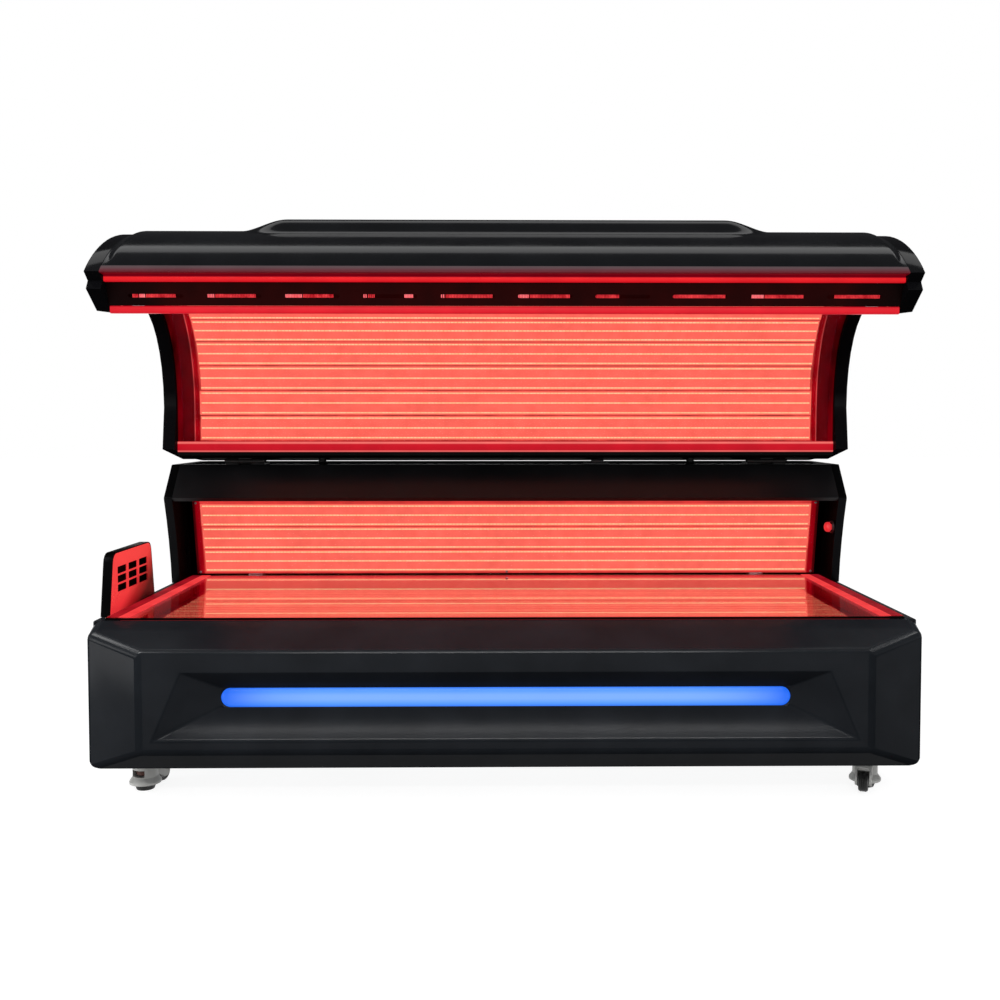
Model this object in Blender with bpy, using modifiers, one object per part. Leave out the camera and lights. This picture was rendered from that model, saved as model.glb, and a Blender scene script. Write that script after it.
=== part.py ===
"""Red light therapy bed: a lying surface and an upright rear panel of red light boards behind
clear acrylic, and a hinged canopy with a curved light panel above them.

Metres, +Z up, +X to the right of someone standing in front, +Y away from them. The origin is
on the floor under the middle of the bed. Depths are measured from the front face to the rear.
"""
import bpy
import bmesh
from math import cos, pi, radians, sin, tan
from mathutils import Matrix, Vector
from mathutils.geometry import interpolate_bezier

# Overall size, and the clearance between pieces that seat on each other
LENGTH = 2.198
DEPTH = 1.157
CLEAR = 0.0003

# Base housing
BASE_BOTTOM = 0.100
RIM_TOP = 0.485
COVER_WALL = 0.005
FLANGE = 0.032
SHEET = 0.003
BULKHEAD_X = 0.600
BULKHEAD_BAYS = 3
BULKHEAD_FRAME = 0.045

# Front fascia: a flat front with long chamfers, and a recess that narrows to the lamp
FRONT_WIDTH = LENGTH - 0.317
FRONT_LOW = BASE_BOTTOM + 0.065
FRONT_HIGH = RIM_TOP - 0.057
FRONT_CHAMFER = 0.080
FASCIA_LEVEL = 0.010
FASCIA_DEPTH = 0.130
EDGE_ROUND = 0.011
CORNER_ROUND = 0.026
RECESS_WIDTH = FRONT_WIDTH - 0.067
RECESS_TAPER = 0.075
RECESS_LOW = FRONT_LOW + 0.033
RECESS_HIGH = FRONT_HIGH - 0.054
RECESS_DEPTH = 0.045
RECESS_ROUND = 0.005
LAMP_LENGTH = RECESS_WIDTH - 0.334
LAMP_HEIGHT = 0.050
LAMP_MIDDLE = (RECESS_LOW + RECESS_HIGH) / 2 + 0.013
LAMP_MARGIN = 0.012
LAMP_CHANNEL_DEPTH = 0.030

# Bed
BED_SHEET = 0.006
BED_HALF_WIDTH = LENGTH / 2 - 0.029
BED_FRONT = FASCIA_DEPTH + 0.003
TRAY_BOTTOM = RIM_TOP - 0.055
TRAY_HALF_WIDTH = BED_HALF_WIDTH - 0.040
TRAY_MARGIN = 0.006
LIGHT_PLATE = 0.006
LIGHT_MARGIN = 0.030
BOARD_RISE = 0.003
BOARD_PITCH = 0.0815
BOARD_SHARE = 0.81
BED_BOARDS = 9
REAR_BOARDS = 3
CANOPY_BOARDS = 10

# Rear upright
END_WALL = 0.026
END_WALL_ROUND = 0.009
END_WALL_BOW = 0.010
HOOD_TOP = 0.873
HOOD_NOSE = (0.731, HOOD_TOP - 0.104)
HOOD_TOP_FRONT = HOOD_NOSE[0] + 0.089
HOOD_TOP_END = HOOD_TOP_FRONT + 0.060
HOOD_UNDERSIDE = HOOD_NOSE[1] - 0.011
HOOD_SHEET = 0.004
END_WALL_FOOT = HOOD_NOSE[0] + 0.073
REAR_ACRYLIC_FRONT = 0.935
REAR_ACRYLIC = 0.004
REAR_LEAN = 0.220
REAR_LIGHT_BACK = REAR_ACRYLIC_FRONT + 0.023
UPRIGHT_X = LENGTH / 2 - 0.239
UPRIGHT_SIZE = 0.050
LOUVRE_GROUP = 0.550
LOUVRE_ROWS = 5
LOUVRE_LENGTH = 0.260
LOUVRE_HEIGHT = 0.010
LOUVRE_PITCH = 0.026
LOUVRE_LOW = BASE_BOTTOM + 0.180

# Hinge line in the gap between the upright and the canopy, and the beam above it
HINGE = (HOOD_TOP_FRONT + 0.010, HOOD_TOP + 0.012)
BEAM_BOTTOM = HOOD_TOP + 0.0225
BEAM_TOE_TOP = BEAM_BOTTOM + 0.020
BEAM_TOP = BEAM_BOTTOM + 0.0345
BEAM_HEEL = BEAM_BOTTOM + 0.0095
BEAM_WALL = 0.004
BEAM_FRONT = HINGE[0] - 0.040
BEAM_BACK = HINGE[0] + 0.098

# Canopy side profile: (depth, height) points, and its curves with their handles
CAP_THICKNESS = 0.040
CAP_ROUND = 0.010
CANOPY_NOSE = (0.102, 1.404)
CANOPY_CREST = (0.500, 1.560)
CANOPY_REAR = (BEAM_BACK + 0.047, 1.120)
CANOPY_TOE = (BEAM_BACK + 0.007, BEAM_BOTTOM - 0.0085)
FRONT_CURVE = (CANOPY_NOSE, (0.185, 1.490), (0.335, 1.556), CANOPY_CREST)
TOP_CURVE = (CANOPY_CREST, (0.760, 1.566), (CANOPY_REAR[0], 1.380), CANOPY_REAR)
REAR_CURVE = (CANOPY_REAR, (CANOPY_REAR[0], 1.030), (CANOPY_REAR[0] - 0.010, 0.940), CANOPY_TOE)
CANOPY_WALL = 0.004
END_STEP = 0.010
END_STEP_AT = LENGTH / 2 - 0.068
END_STEP_RAMP = 0.026
STEP_START = (0.185, 0.240)
BULGE = 0.033
BULGE_HALF = 0.625
BULGE_RAMP = 0.132
BULGE_START = (0.300, 0.395)
BULGE_END = (0.640, 0.860)
ACRYLIC_INSET = 0.024
LIGHT_INSET = 0.062
CANOPY_ACRYLIC = 0.004

# Lip along the canopy's front edge
RAIL_HEIGHT = 0.017
RAIL_DEPTH = 0.018
RAIL_ROUND = 0.004
UPPER_RAIL_TOP = CANOPY_NOSE[1] - 0.005
UPPER_RAIL_FRONT = CANOPY_NOSE[0] + 0.031
VENT_PANEL = 0.003
VENT_DEPTH = UPPER_RAIL_FRONT + 0.029
VENT_LEAN = radians(20)
LOWER_RAIL_BOTTOM = UPPER_RAIL_TOP - 0.096
LOWER_RAIL_HEIGHT = 0.020
LOWER_RAIL_DEPTH = CANOPY_NOSE[0] + 0.075
REAR_RAIL_HEIGHT = 0.035
REAR_RAIL_DEPTH = 0.016
LIP_FOOT = (LOWER_RAIL_DEPTH + 0.012, LOWER_RAIL_BOTTOM + 0.007)
LIP_EDGE = (CANOPY_NOSE[0] + 0.013, CANOPY_NOSE[1] - 0.044)
LIP_NOTCH = (CANOPY_NOSE[0] + 0.027, CANOPY_NOSE[1] - 0.021)
SLOT_COUNT = 10
SLOT_PITCH = (LENGTH - 0.128) / SLOT_COUNT
SLOT_LENGTH = 0.705 * SLOT_PITCH
SLOT_HEIGHT = 0.010
SLOT_DROP = 0.005

# Inside edge of the canopy, from the lip round to its foot
RIM_START = (LOWER_RAIL_DEPTH + 0.140, LOWER_RAIL_BOTTOM + 0.014)
RIM_END = (HINGE[0] - 0.085, 1.060)
RIM_FOOT = (HINGE[0] - 0.106, BEAM_BOTTOM + 0.0295)
RIM_CURVE = (RIM_START, (0.520, 1.460), (RIM_END[0], 1.330), RIM_END)

# Hinges, stop posts and cable gland between the upright and the canopy
HINGE_WIDTH = 0.127
HINGE_LEAF = 0.003
KNUCKLE_RADIUS = 0.0088
KNUCKLE_GAP = 0.001
PIN_RADIUS = 0.0045
PIN_PLAY = 0.0005
HINGE_LEAF_DEPTH = 0.075
POST_X = 0.620
POST_RADIUS = 0.013
POST_DEPTH = HINGE[0] + 0.075
GLAND_X = 0.300
GLAND_RADIUS = 0.0085
GLAND_LENGTH = 0.040
GLAND_FOOT = (0.085, 0.044, 0.004)

# Stop button on the right end wall
BUTTON_DEPTH = END_WALL_FOOT - 0.012
BUTTON_Z = RIM_TOP + 0.183
BUTTON_RADIUS = 0.015
BUTTON_PLAY = 0.0008
BUTTON_TAIL = 0.002
BUTTON_RISE = 0.018
BUTTON_TRAVEL = 0.005
COLLAR_RADIUS = 0.021
COLLAR_HEIGHT = 0.008

# Air outlet at the head end, and the blower that feeds it
OUTLET_FRONT = 0.180
OUTLET_BACK = 0.552
OUTLET_TOP = RIM_TOP + 0.170
OUTLET_LEAN = 0.030
OUTLET_ROUND = 0.030
OUTLET_THICKNESS = 0.026
OUTLET_WALL = 0.003
GRILLE = 0.003
VENT_ROWS = 3
VENT_COLUMNS = 3
VENT_SIZE = (0.0725, 0.0205)
VENT_PITCH = (VENT_SIZE[0] + 0.014, VENT_SIZE[1] + 0.0045)
VENT_MIDDLE = ((OUTLET_FRONT + OUTLET_BACK) / 2, OUTLET_TOP - 0.077)
BLOWER_WIDTH = 0.046
BLOWER_RADIUS = 0.075
BLOWER_WALL = 0.004
BLOWER_PLAY = 0.005
BLOWER_RIM = 0.015
BLOWER_BLADES = 12
BLOWER_HUB = 0.58
BLOWER_AT = ((OUTLET_FRONT + OUTLET_BACK) / 2, (BASE_BOTTOM + RIM_TOP) / 2)

# Power and control inside the base
SUPPLY_SIZE = (0.230, 0.120, 0.070)
SUPPLY_X = 0.300
SUPPLY_DEPTH = 0.500
CONTROL_SIZE = (0.180, 0.200, 0.060)
CONTROL_X = LENGTH / 2 - 0.249
CONTROL_DEPTH = 0.420
INLET_SIZE = (0.050, 0.030, 0.034)
INLET_WALL = 0.008
INLET_RECESS = 0.018
INLET_X = UPRIGHT_X + UPRIGHT_SIZE / 2 + INLET_SIZE[0] / 2 + 0.040
INLET_Z = BASE_BOTTOM + 0.080

# Levelling casters
CASTER_X = LENGTH / 2 - 0.099
CASTER_FRONT = 0.229
CASTER_BACK = DEPTH - 0.177
HOUSING_RADIUS = 0.034
HOUSING_BORE = 0.027
HOUSING_LOW = 0.0175
HOUSING_ROOF = 0.062
HOUSING_FLARE = 0.036
FLANGE_RADIUS = 0.043
FLANGE_HEIGHT = 0.006
WINDOW = (0.040, 0.019)
WINDOW_LOW = 0.038
WHEEL_RADIUS = 0.026
WHEEL_WIDTH = 0.026
WHEEL_LIFT = 0.0025
WHEEL_TRAIL = 0.064
WHEEL_PLAY = 0.003
TREAD_GROOVE = 0.002
HUB_RADIUS = 0.010
ARM = 0.006
CROWN_HEIGHT = 0.010
PAD_RADIUS = 0.028
PAD_HEIGHT = 0.0155
SCREW_RADIUS = 0.006
SCREW_TOP = HOUSING_ROOF + 0.020
THUMB_RADIUS = 0.024
THUMB_LOW = WINDOW_LOW + 0.003
THUMB_HEIGHT = 0.013

PARTS = "red_light_therapy_bed"
CUTTERS = "cutters"

for old in list(bpy.data.objects):
    bpy.data.objects.remove(old, do_unlink=True)


def collection(name):
    made = bpy.data.collections.get(name) or bpy.data.collections.new(name)
    if name not in bpy.context.scene.collection.children:
        bpy.context.scene.collection.children.link(made)
    return made


def material(name, colour, roughness, metallic=0.0, glow=0.0):
    """Principled material; glow adds light of the piece's own colour."""
    made = bpy.data.materials.get(name)
    if made is None:
        made = bpy.data.materials.new(name)
        made.use_nodes = True
        shader = made.node_tree.nodes["Principled BSDF"]
        shader.inputs["Base Color"].default_value = (*colour, 1.0)
        shader.inputs["Roughness"].default_value = roughness
        shader.inputs["Metallic"].default_value = metallic
        shader.inputs["Emission Color"].default_value = (*colour, 1.0)
        shader.inputs["Emission Strength"].default_value = glow
    return made


def satin_charcoal():
    return material("satin_charcoal", (0.012, 0.013, 0.015), 0.42)


def gloss_black():
    return material("gloss_black", (0.006, 0.006, 0.007), 0.15)


def steel():
    return material("zinc_steel", (0.45, 0.45, 0.46), 0.40, 0.9)


def light_board():
    return material("light_board", (0.90, 0.12, 0.10), 0.50, 0.0, 1.0)


def red_acrylic():
    return material("red_acrylic", (0.75, 0.02, 0.03), 0.10)


def clear_acrylic():
    return material("clear_acrylic", (0.85, 0.55, 0.55), 0.05)


def blue_lens():
    return material("blue_lens", (0.10, 0.30, 0.95), 0.30, 0.0, 1.0)


def black_rubber():
    return material("black_rubber", (0.010, 0.010, 0.010), 0.70)


def cast_grey():
    return material("cast_grey", (0.35, 0.35, 0.34), 0.50, 0.6)


def back(depth):
    """World Y of a depth behind the front face."""
    return depth - DEPTH / 2


def add(name, mesh, finish, place=None, smooth=True):
    """New part object from a mesh, shaded smooth between its sharp edges."""
    obj = bpy.data.objects.new(name, mesh)
    obj.matrix_world = place or Matrix()
    collection(PARTS).objects.link(obj)
    mesh.materials.clear()
    mesh.materials.append(finish)
    if smooth:
        mesh.shade_smooth()
        mesh.set_sharp_from_angle(angle=radians(35))
    return obj


def from_bmesh(name, bm, finish, place=None):
    mesh = bpy.data.meshes.new(name)
    bm.to_mesh(mesh)
    bm.free()
    return add(name, mesh, finish, place)


def side_on(x):
    """Outline (depth offset in Y, height) drawn on an end face, thickness along X."""
    return Matrix(((0, 0, 1, x), (1, 0, 0, 0), (0, 1, 0, 0), (0, 0, 0, 1)))


def face_on(y):
    """Outline (X, height) drawn on a front face, thickness along Y."""
    return Matrix(((1, 0, 0, 0), (0, 0, -1, y), (0, 1, 0, 0), (0, 0, 0, 1)))


def laid_flat(z):
    """Outline (X, Y) drawn on a level face, thickness along Z."""
    return Matrix.Translation((0, 0, z))


def fillet(corners, steps=4):
    """Outline through (u, v, radius) corners, each rounded with an arc."""
    outline = []
    for i, (u, v, radius) in enumerate(corners):
        here = Vector((u, v))
        before = Vector(corners[i - 1][:2]) - here
        after = Vector(corners[(i + 1) % len(corners)][:2]) - here
        half = before.angle(after) / 2
        reach = min(radius / tan(half), before.length * 0.49, after.length * 0.49)
        if reach < 0.0001:
            outline.append(here)
            continue
        start = here + before.normalized() * reach
        bisector = (before.normalized() + after.normalized()).normalized()
        centre = here + bisector * (reach / cos(half))
        sweep = pi - 2 * half
        if before.cross(after) > 0:
            sweep = -sweep
        for step in range(steps + 1):
            turn = Matrix.Rotation(sweep * step / steps, 2)
            outline.append(centre + turn @ (start - centre))
    return outline


def rectangle(u0, v0, u1, v1, radius=0.0, steps=3):
    return fillet([(u0, v0, radius), (u1, v0, radius), (u1, v1, radius), (u0, v1, radius)], steps)


def circle(u, v, radius, steps=20):
    turns = [2 * pi * i / steps for i in range(steps)]
    return [Vector((u + radius * cos(a), v + radius * sin(a))) for a in turns]


def plate(name, outlines, thickness, place, finish):
    """Flat plate from a filled 2D curve: the first outline is its edge, the others are holes."""
    curve = bpy.data.curves.new(name, "CURVE")
    curve.dimensions = "2D"
    curve.fill_mode = "BOTH"
    curve.extrude = thickness / 2
    for outline in outlines:
        spline = curve.splines.new("POLY")
        spline.points.add(len(outline) - 1)
        for point, corner in zip(spline.points, outline):
            point.co = (corner[0], corner[1], 0.0, 1.0)
        spline.use_cyclic_u = True
    drawn = bpy.data.objects.new(name + "_curve", curve)
    bpy.context.scene.collection.objects.link(drawn)
    evaluated = drawn.evaluated_get(bpy.context.evaluated_depsgraph_get())
    mesh = bpy.data.meshes.new_from_object(evaluated)
    bpy.data.objects.remove(drawn)
    bm = bmesh.new()
    bm.from_mesh(mesh)
    bmesh.ops.remove_doubles(bm, verts=bm.verts, dist=0.00001)
    bmesh.ops.recalc_face_normals(bm, faces=bm.faces)
    bm.to_mesh(mesh)
    bm.free()
    return add(name, mesh, finish, place)


def side_plate(name, outline, x0, x1, finish, holes=()):
    """Side profile in (depth, height) carried from x0 to x1."""
    shifted = [[(back(d), z) for d, z in ring] for ring in (outline, *holes)]
    return plate(name, shifted, abs(x1 - x0), side_on((x0 + x1) / 2), finish)


def block(name, low, high, finish, edge=0.0):
    """Box between two corners, with rounded edges if edge is given."""
    size = Vector(high) - Vector(low)
    bm = bmesh.new()
    bmesh.ops.create_cube(bm, size=1.0)
    bmesh.ops.scale(bm, vec=size, verts=bm.verts)
    obj = from_bmesh(name, bm, finish, Matrix.Translation((Vector(low) + Vector(high)) / 2))
    if edge:
        round_edges(obj, edge)
    return obj


def round_edges(obj, width, segments=2, angle=40):
    bevel = obj.modifiers.new("round", "BEVEL")
    bevel.width = width
    bevel.segments = segments
    bevel.limit_method = "ANGLE"
    bevel.angle_limit = radians(angle)
    bevel.use_clamp_overlap = True


def round_outer(obj, side, width):
    """Round the rim of a side plate's outer face and leave its inner rim square."""
    bm = bmesh.new()
    bm.from_mesh(obj.data)
    weights = bm.edges.layers.float.new("bevel_weight_edge")
    for edge in bm.edges:
        outside = all(vert.co.z * side > 0 for vert in edge.verts)
        if outside and edge.calc_face_angle(0.0) > radians(40):
            edge[weights] = 1.0
    bm.to_mesh(obj.data)
    bm.free()
    bevel = obj.modifiers.new("outer rim", "BEVEL")
    bevel.width = width
    bevel.segments = 3
    bevel.limit_method = "WEIGHT"


def turned(name, profile, place, finish, steps=24):
    """Turned solid: (radius, height) profile from top to bottom, spun round local Z."""
    bm = bmesh.new()
    verts = [bm.verts.new((r, 0, z)) for r, z in profile]
    for one, two in zip(verts, verts[1:]):
        bm.edges.new((one, two))
    obj = from_bmesh(name, bm, finish, place)
    screw = obj.modifiers.new("turn", "SCREW")
    screw.axis = "Z"
    screw.angle = 2 * pi
    screw.steps = steps
    screw.render_steps = steps
    screw.use_merge_vertices = True
    screw.merge_threshold = 0.00001
    screw.use_smooth_shade = True
    return obj


def tube(name, start, end, radius, finish, steps=16):
    """Round bar between two points."""
    along = Vector(end) - Vector(start)
    bm = bmesh.new()
    bmesh.ops.create_cone(bm, cap_ends=True, segments=steps, radius1=radius, radius2=radius,
                          depth=along.length)
    turn = along.to_track_quat("Z", "Y").to_matrix().to_4x4()
    middle = Matrix.Translation((Vector(start) + Vector(end)) / 2)
    return from_bmesh(name, bm, finish, middle @ turn)


def cutter(obj):
    """Put a tool solid aside: it shapes other pieces and is no piece itself."""
    collection(PARTS).objects.unlink(obj)
    collection(CUTTERS).objects.link(obj)
    obj.hide_render = True
    obj.display_type = "WIRE"
    return obj


def combine(obj, operation, *tools):
    for tool in tools:
        boolean = obj.modifiers.new(operation.lower(), "BOOLEAN")
        boolean.operation = operation
        boolean.solver = "EXACT"
        boolean.object = cutter(tool)
    return obj


def cut(obj, *tools):
    return combine(obj, "DIFFERENCE", *tools)


def join(obj, *tools):
    return combine(obj, "UNION", *tools)


def joint_empty(name, position):
    empty = bpy.data.objects.new(name, None)
    empty.location = position
    empty.empty_display_size = 0.05
    collection(PARTS).objects.link(empty)
    return empty


def hang(empty, *objects):
    """Parent pieces to the empty on their joint's axis, leaving them where they are."""
    for obj in objects:
        obj.parent = empty
        obj.matrix_parent_inverse = Matrix.Translation(empty.location).inverted()


def bezier(start, one, two, end, count):
    points = interpolate_bezier(Vector((*start, 0)), Vector((*one, 0)),
                                Vector((*two, 0)), Vector((*end, 0)), count)
    return [point.to_2d() for point in points]


def canopy_outline():
    """Outside of the canopy from its nose over the crest to its rear toe."""
    front = bezier(*FRONT_CURVE, 15)
    top = bezier(*TOP_CURVE, 9)
    rear = bezier(*REAR_CURVE, 6)
    return front + top[1:] + rear[1:]


def canopy_rim():
    """Inside edge of the canopy from the lip round to the foot beside the hinge."""
    return bezier(*RIM_CURVE, 13) + [Vector(RIM_FOOT)]


def offset(path, distance):
    """Open path moved sideways, to the left of its direction for a positive distance."""
    moved = []
    for i, point in enumerate(path):
        ahead = path[min(i + 1, len(path) - 1)]
        behind = path[max(i - 1, 0)]
        along = (ahead - behind).normalized()
        moved.append(point + Vector((-along.y, along.x)) * distance)
    return moved


def resample(path, step):
    """Points every step along an open path, from its start."""
    points = [path[0].copy()]
    left = step
    for one, two in zip(path, path[1:]):
        reach = (two - one).length
        done = 0.0
        while reach - done >= left:
            done += left
            points.append(one.lerp(two, done / reach))
            left = step
        left -= reach - done
    return points


def light_panel_outline(path, boards):
    """Carrier plate along a path with raised boards on its right side; closed outline."""
    total = sum((b - a).length for a, b in zip(path, path[1:]))
    pitch = min(BOARD_PITCH, total / boards)
    lead = (total - boards * pitch) / 2
    step = 0.0005
    fine = resample(path, step)

    def at(distance, rise):
        i = min(max(int(distance / step), 1), len(fine) - 2)
        along = (fine[i + 1] - fine[i - 1]).normalized()
        return fine[i] - Vector((-along.y, along.x)) * rise

    face = [at(0, 0)]
    for board in range(boards):
        start = lead + board * pitch + pitch * (1 - BOARD_SHARE) / 2
        end = start + pitch * BOARD_SHARE
        face += [at(start, 0), at(start, BOARD_RISE), at(end, BOARD_RISE), at(end, 0)]
    face.append(at(total, 0))
    rear = [at(total * i / boards, -LIGHT_PLATE) for i in range(boards, -1, -1)]
    return face + rear


def floor_pan():
    """Steel floor of the base, lying on the flanges of the covers."""
    half = LENGTH / 2 - COVER_WALL - CORNER_ROUND
    front = FRONT_CHAMFER + 2 * EDGE_ROUND
    outline = rectangle(-half, back(front), half, back(DEPTH - COVER_WALL - CLEAR))
    return plate("floor_pan", [outline], SHEET, laid_flat(pan_top() - SHEET / 2), steel())


def pan_top():
    return BASE_BOTTOM + COVER_WALL + CLEAR + SHEET


def bulkhead(side, name):
    """Sheet upright with lightening holes that carries the bed tray."""
    x = side * BULKHEAD_X
    low = pan_top() + CLEAR
    high = TRAY_BOTTOM - CLEAR
    front = FASCIA_DEPTH + LIGHT_MARGIN
    rear = REAR_ACRYLIC_FRONT
    bay = (rear - front) / BULKHEAD_BAYS
    frame = BULKHEAD_FRAME
    holes = [rectangle(front + bay * i + frame, low + frame, front + bay * (i + 1) - frame,
                       high - frame, frame / 2) for i in range(BULKHEAD_BAYS)]
    outline = rectangle(front, low, rear, high)
    return side_plate(name, outline, x - SHEET / 2, x + SHEET / 2, steel(), holes)


def fascia_rings():
    """Rings from the lamp floor to the rear edge: half widths low and high, low, high, depth."""
    level = FASCIA_DEPTH - FASCIA_LEVEL
    slope = (RIM_TOP - FRONT_HIGH) / level
    half_lamp = LAMP_LENGTH / 2 + LAMP_MARGIN
    lamp_low = LAMP_MIDDLE - LAMP_HEIGHT / 2 - LAMP_MARGIN
    lamp_high = LAMP_MIDDLE + LAMP_HEIGHT / 2 + LAMP_MARGIN
    return [
        (half_lamp, half_lamp, lamp_low, lamp_high, RECESS_DEPTH),
        (RECESS_WIDTH / 2, RECESS_WIDTH / 2 - RECESS_TAPER, RECESS_LOW, RECESS_HIGH, 0.0),
        (FRONT_WIDTH / 2, FRONT_WIDTH / 2, FRONT_LOW, FRONT_HIGH, 0.0),
        (LENGTH / 2, LENGTH / 2, BASE_BOTTOM, FRONT_HIGH + slope * FRONT_CHAMFER, FRONT_CHAMFER),
        (LENGTH / 2, LENGTH / 2, BASE_BOTTOM, RIM_TOP, level),
        (LENGTH / 2, LENGTH / 2, BASE_BOTTOM, RIM_TOP, FASCIA_DEPTH),
    ]


def front_fascia():
    """Moulded front: chamfered frame, four-sided recess and a slot for the lamp lens."""
    bm = bmesh.new()
    loops = []
    for wide, narrow, low, high, depth in fascia_rings():
        corners = [(-wide, low), (wide, low), (narrow, high), (-narrow, high)]
        loops.append([bm.verts.new((x, back(depth), z)) for x, z in corners])
    bm.faces.new(loops[0])
    for inner, outer in zip(loops, loops[1:]):
        for i in range(4):
            j = (i + 1) % 4
            bm.faces.new((outer[i], outer[j], inner[j], inner[i]))
    weights = bm.edges.layers.float.new("bevel_weight_edge")
    for edge in bm.edges:
        ring = {i for i, loop in enumerate(loops) for vert in edge.verts if vert in loop}
        if ring in ({3, 4}, {4, 5}):
            edge[weights] = 1.0
        elif ring in ({2}, {3}, {2, 3}):
            edge[weights] = EDGE_ROUND / CORNER_ROUND
        elif ring in ({0, 1}, {1}):
            edge[weights] = RECESS_ROUND / CORNER_ROUND
    top_rear = [e for e in bm.edges if all(v in (loops[3][2], loops[3][3]) for v in e.verts)]
    for edge in top_rear:
        edge[weights] = 0.0
    obj = from_bmesh("front_fascia", bm, satin_charcoal())
    bevel = obj.modifiers.new("rounded edges", "BEVEL")
    bevel.width = CORNER_ROUND
    bevel.segments = 3
    bevel.limit_method = "WEIGHT"
    shell = obj.modifiers.new("wall", "SOLIDIFY")
    shell.thickness = COVER_WALL
    shell.offset = -1.0
    shell.use_even_offset = True
    slot = plate("lamp_slot", [lamp_outline(CLEAR)], 4 * COVER_WALL,
                 face_on(back(RECESS_DEPTH)), steel())
    return cut(obj, slot)


def lamp_outline(grow=0.0):
    half = LAMP_LENGTH / 2 + grow
    tall = LAMP_HEIGHT / 2 + grow
    return rectangle(-half, LAMP_MIDDLE - tall, half, LAMP_MIDDLE + tall, tall * 0.98, 8)


def lamp_lens():
    """Diffusing lens with round ends, flush in the recess floor."""
    middle = RECESS_DEPTH + COVER_WALL / 2
    return plate("lamp_lens", [lamp_outline()], COVER_WALL, face_on(back(middle)), blue_lens())


def lamp_channel():
    """Channel behind the lens that holds the blue light strip."""
    front = RECESS_DEPTH + COVER_WALL + CLEAR
    rear = front + LAMP_CHANNEL_DEPTH
    half = LAMP_LENGTH / 2 + LAMP_MARGIN / 2
    low = LAMP_MIDDLE - LAMP_HEIGHT / 2 - LAMP_MARGIN / 2
    high = LAMP_MIDDLE + LAMP_HEIGHT / 2 + LAMP_MARGIN / 2
    body = block("lamp_channel", (-half, back(front), low), (half, back(rear), high), steel())
    hollow = block("lamp_channel_hollow", (SHEET - half, back(front - SHEET), low + SHEET),
                   (half - SHEET, back(rear - SHEET), high - SHEET), steel())
    return cut(body, hollow)


def side_cover(side, name):
    """End cover of the base: a wall with a flange at its foot and one under the bed's edge."""
    outer = LENGTH / 2
    inner = outer - COVER_WALL
    foot = inner - FLANGE
    shelf = TRAY_HALF_WIDTH + TRAY_MARGIN
    corners = [(outer, BASE_BOTTOM, EDGE_ROUND), (outer, RIM_TOP, COVER_WALL), (shelf, RIM_TOP, 0),
               (shelf, RIM_TOP - COVER_WALL, 0), (inner, RIM_TOP - COVER_WALL, 0),
               (inner, BASE_BOTTOM + COVER_WALL, 0), (foot, BASE_BOTTOM + COVER_WALL, 0),
               (foot, BASE_BOTTOM, 0)]
    outline = [(side * x, z) for x, z in fillet(corners)]
    front = FASCIA_DEPTH + CLEAR
    rear = DEPTH - COVER_WALL - CLEAR
    return plate(name, [outline], rear - front, face_on(back((front + rear) / 2)), satin_charcoal())


def end_wall_outline():
    """Side profile of the rear upright, its front edge bowed in below the nose."""
    foot = Vector((END_WALL_FOOT, RIM_TOP + CLEAR))
    front = []
    for t in (0.25, 0.5, 0.75):
        point = Vector(HOOD_NOSE).lerp(foot, t)
        front.append((point.x + END_WALL_BOW * 4 * t * (1 - t), point.y, 0.0))
    return fillet([(*foot, 0.0), (DEPTH, RIM_TOP + CLEAR, 0.0), (DEPTH, HOOD_TOP, END_WALL_ROUND),
                   (HOOD_TOP_FRONT, HOOD_TOP, END_WALL_ROUND), (*HOOD_NOSE, END_WALL_ROUND), *front])


def end_wall(side, name):
    """End of the rear upright, rounded outside; the right one has the stop button's well."""
    outer = side * LENGTH / 2
    inner = side * (LENGTH / 2 - END_WALL)
    obj = side_plate(name, end_wall_outline(), inner, outer, gloss_black())
    round_outer(obj, side, END_WALL_ROUND)
    if side > 0:
        at = (back(BUTTON_DEPTH), BUTTON_Z)
        well = BUTTON_TAIL + BUTTON_TRAVEL + BUTTON_PLAY
        hole = tube("button_well", (inner - well, *at), (inner + well, *at),
                    BUTTON_RADIUS + BUTTON_PLAY, steel(), 24)
        cut(obj, hole)
    return obj


def between_end_walls():
    return LENGTH / 2 - END_WALL - CLEAR


def rear_hood():
    """Folded hood over the rear light panel: underside, sloped face and front of the top."""
    nose_round = HOOD_NOSE[1] - HOOD_UNDERSIDE
    path = [(REAR_ACRYLIC_FRONT + 3 * REAR_ACRYLIC, HOOD_UNDERSIDE),
            (HOOD_NOSE[0] + nose_round, HOOD_UNDERSIDE), HOOD_NOSE, (HOOD_TOP_FRONT, HOOD_TOP),
            (HOOD_TOP_END, HOOD_TOP)]
    half = between_end_walls()
    bm = bmesh.new()
    verts = [bm.verts.new((-half, back(d), z)) for d, z in path]
    edges = [bm.edges.new(pair) for pair in zip(verts, verts[1:])]
    grown = bmesh.ops.extrude_edge_only(bm, edges=edges)["geom"]
    far = [item for item in grown if isinstance(item, bmesh.types.BMVert)]
    bmesh.ops.translate(bm, vec=(2 * half, 0, 0), verts=far)
    bmesh.ops.recalc_face_normals(bm, faces=bm.faces)
    obj = from_bmesh("rear_hood", bm, gloss_black())
    shell = obj.modifiers.new("sheet", "SOLIDIFY")
    shell.thickness = HOOD_SHEET
    shell.offset = -1.0
    shell.use_even_offset = True
    return obj


def rear_top_panel():
    """Level lid of the rear upright behind the hood."""
    half = between_end_walls()
    outline = rectangle(-half, back(HOOD_TOP_END + CLEAR), half, back(DEPTH - COVER_WALL - CLEAR))
    return plate("rear_top_panel", [outline], HOOD_SHEET, laid_flat(HOOD_TOP - HOOD_SHEET / 2),
                 gloss_black())


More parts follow.
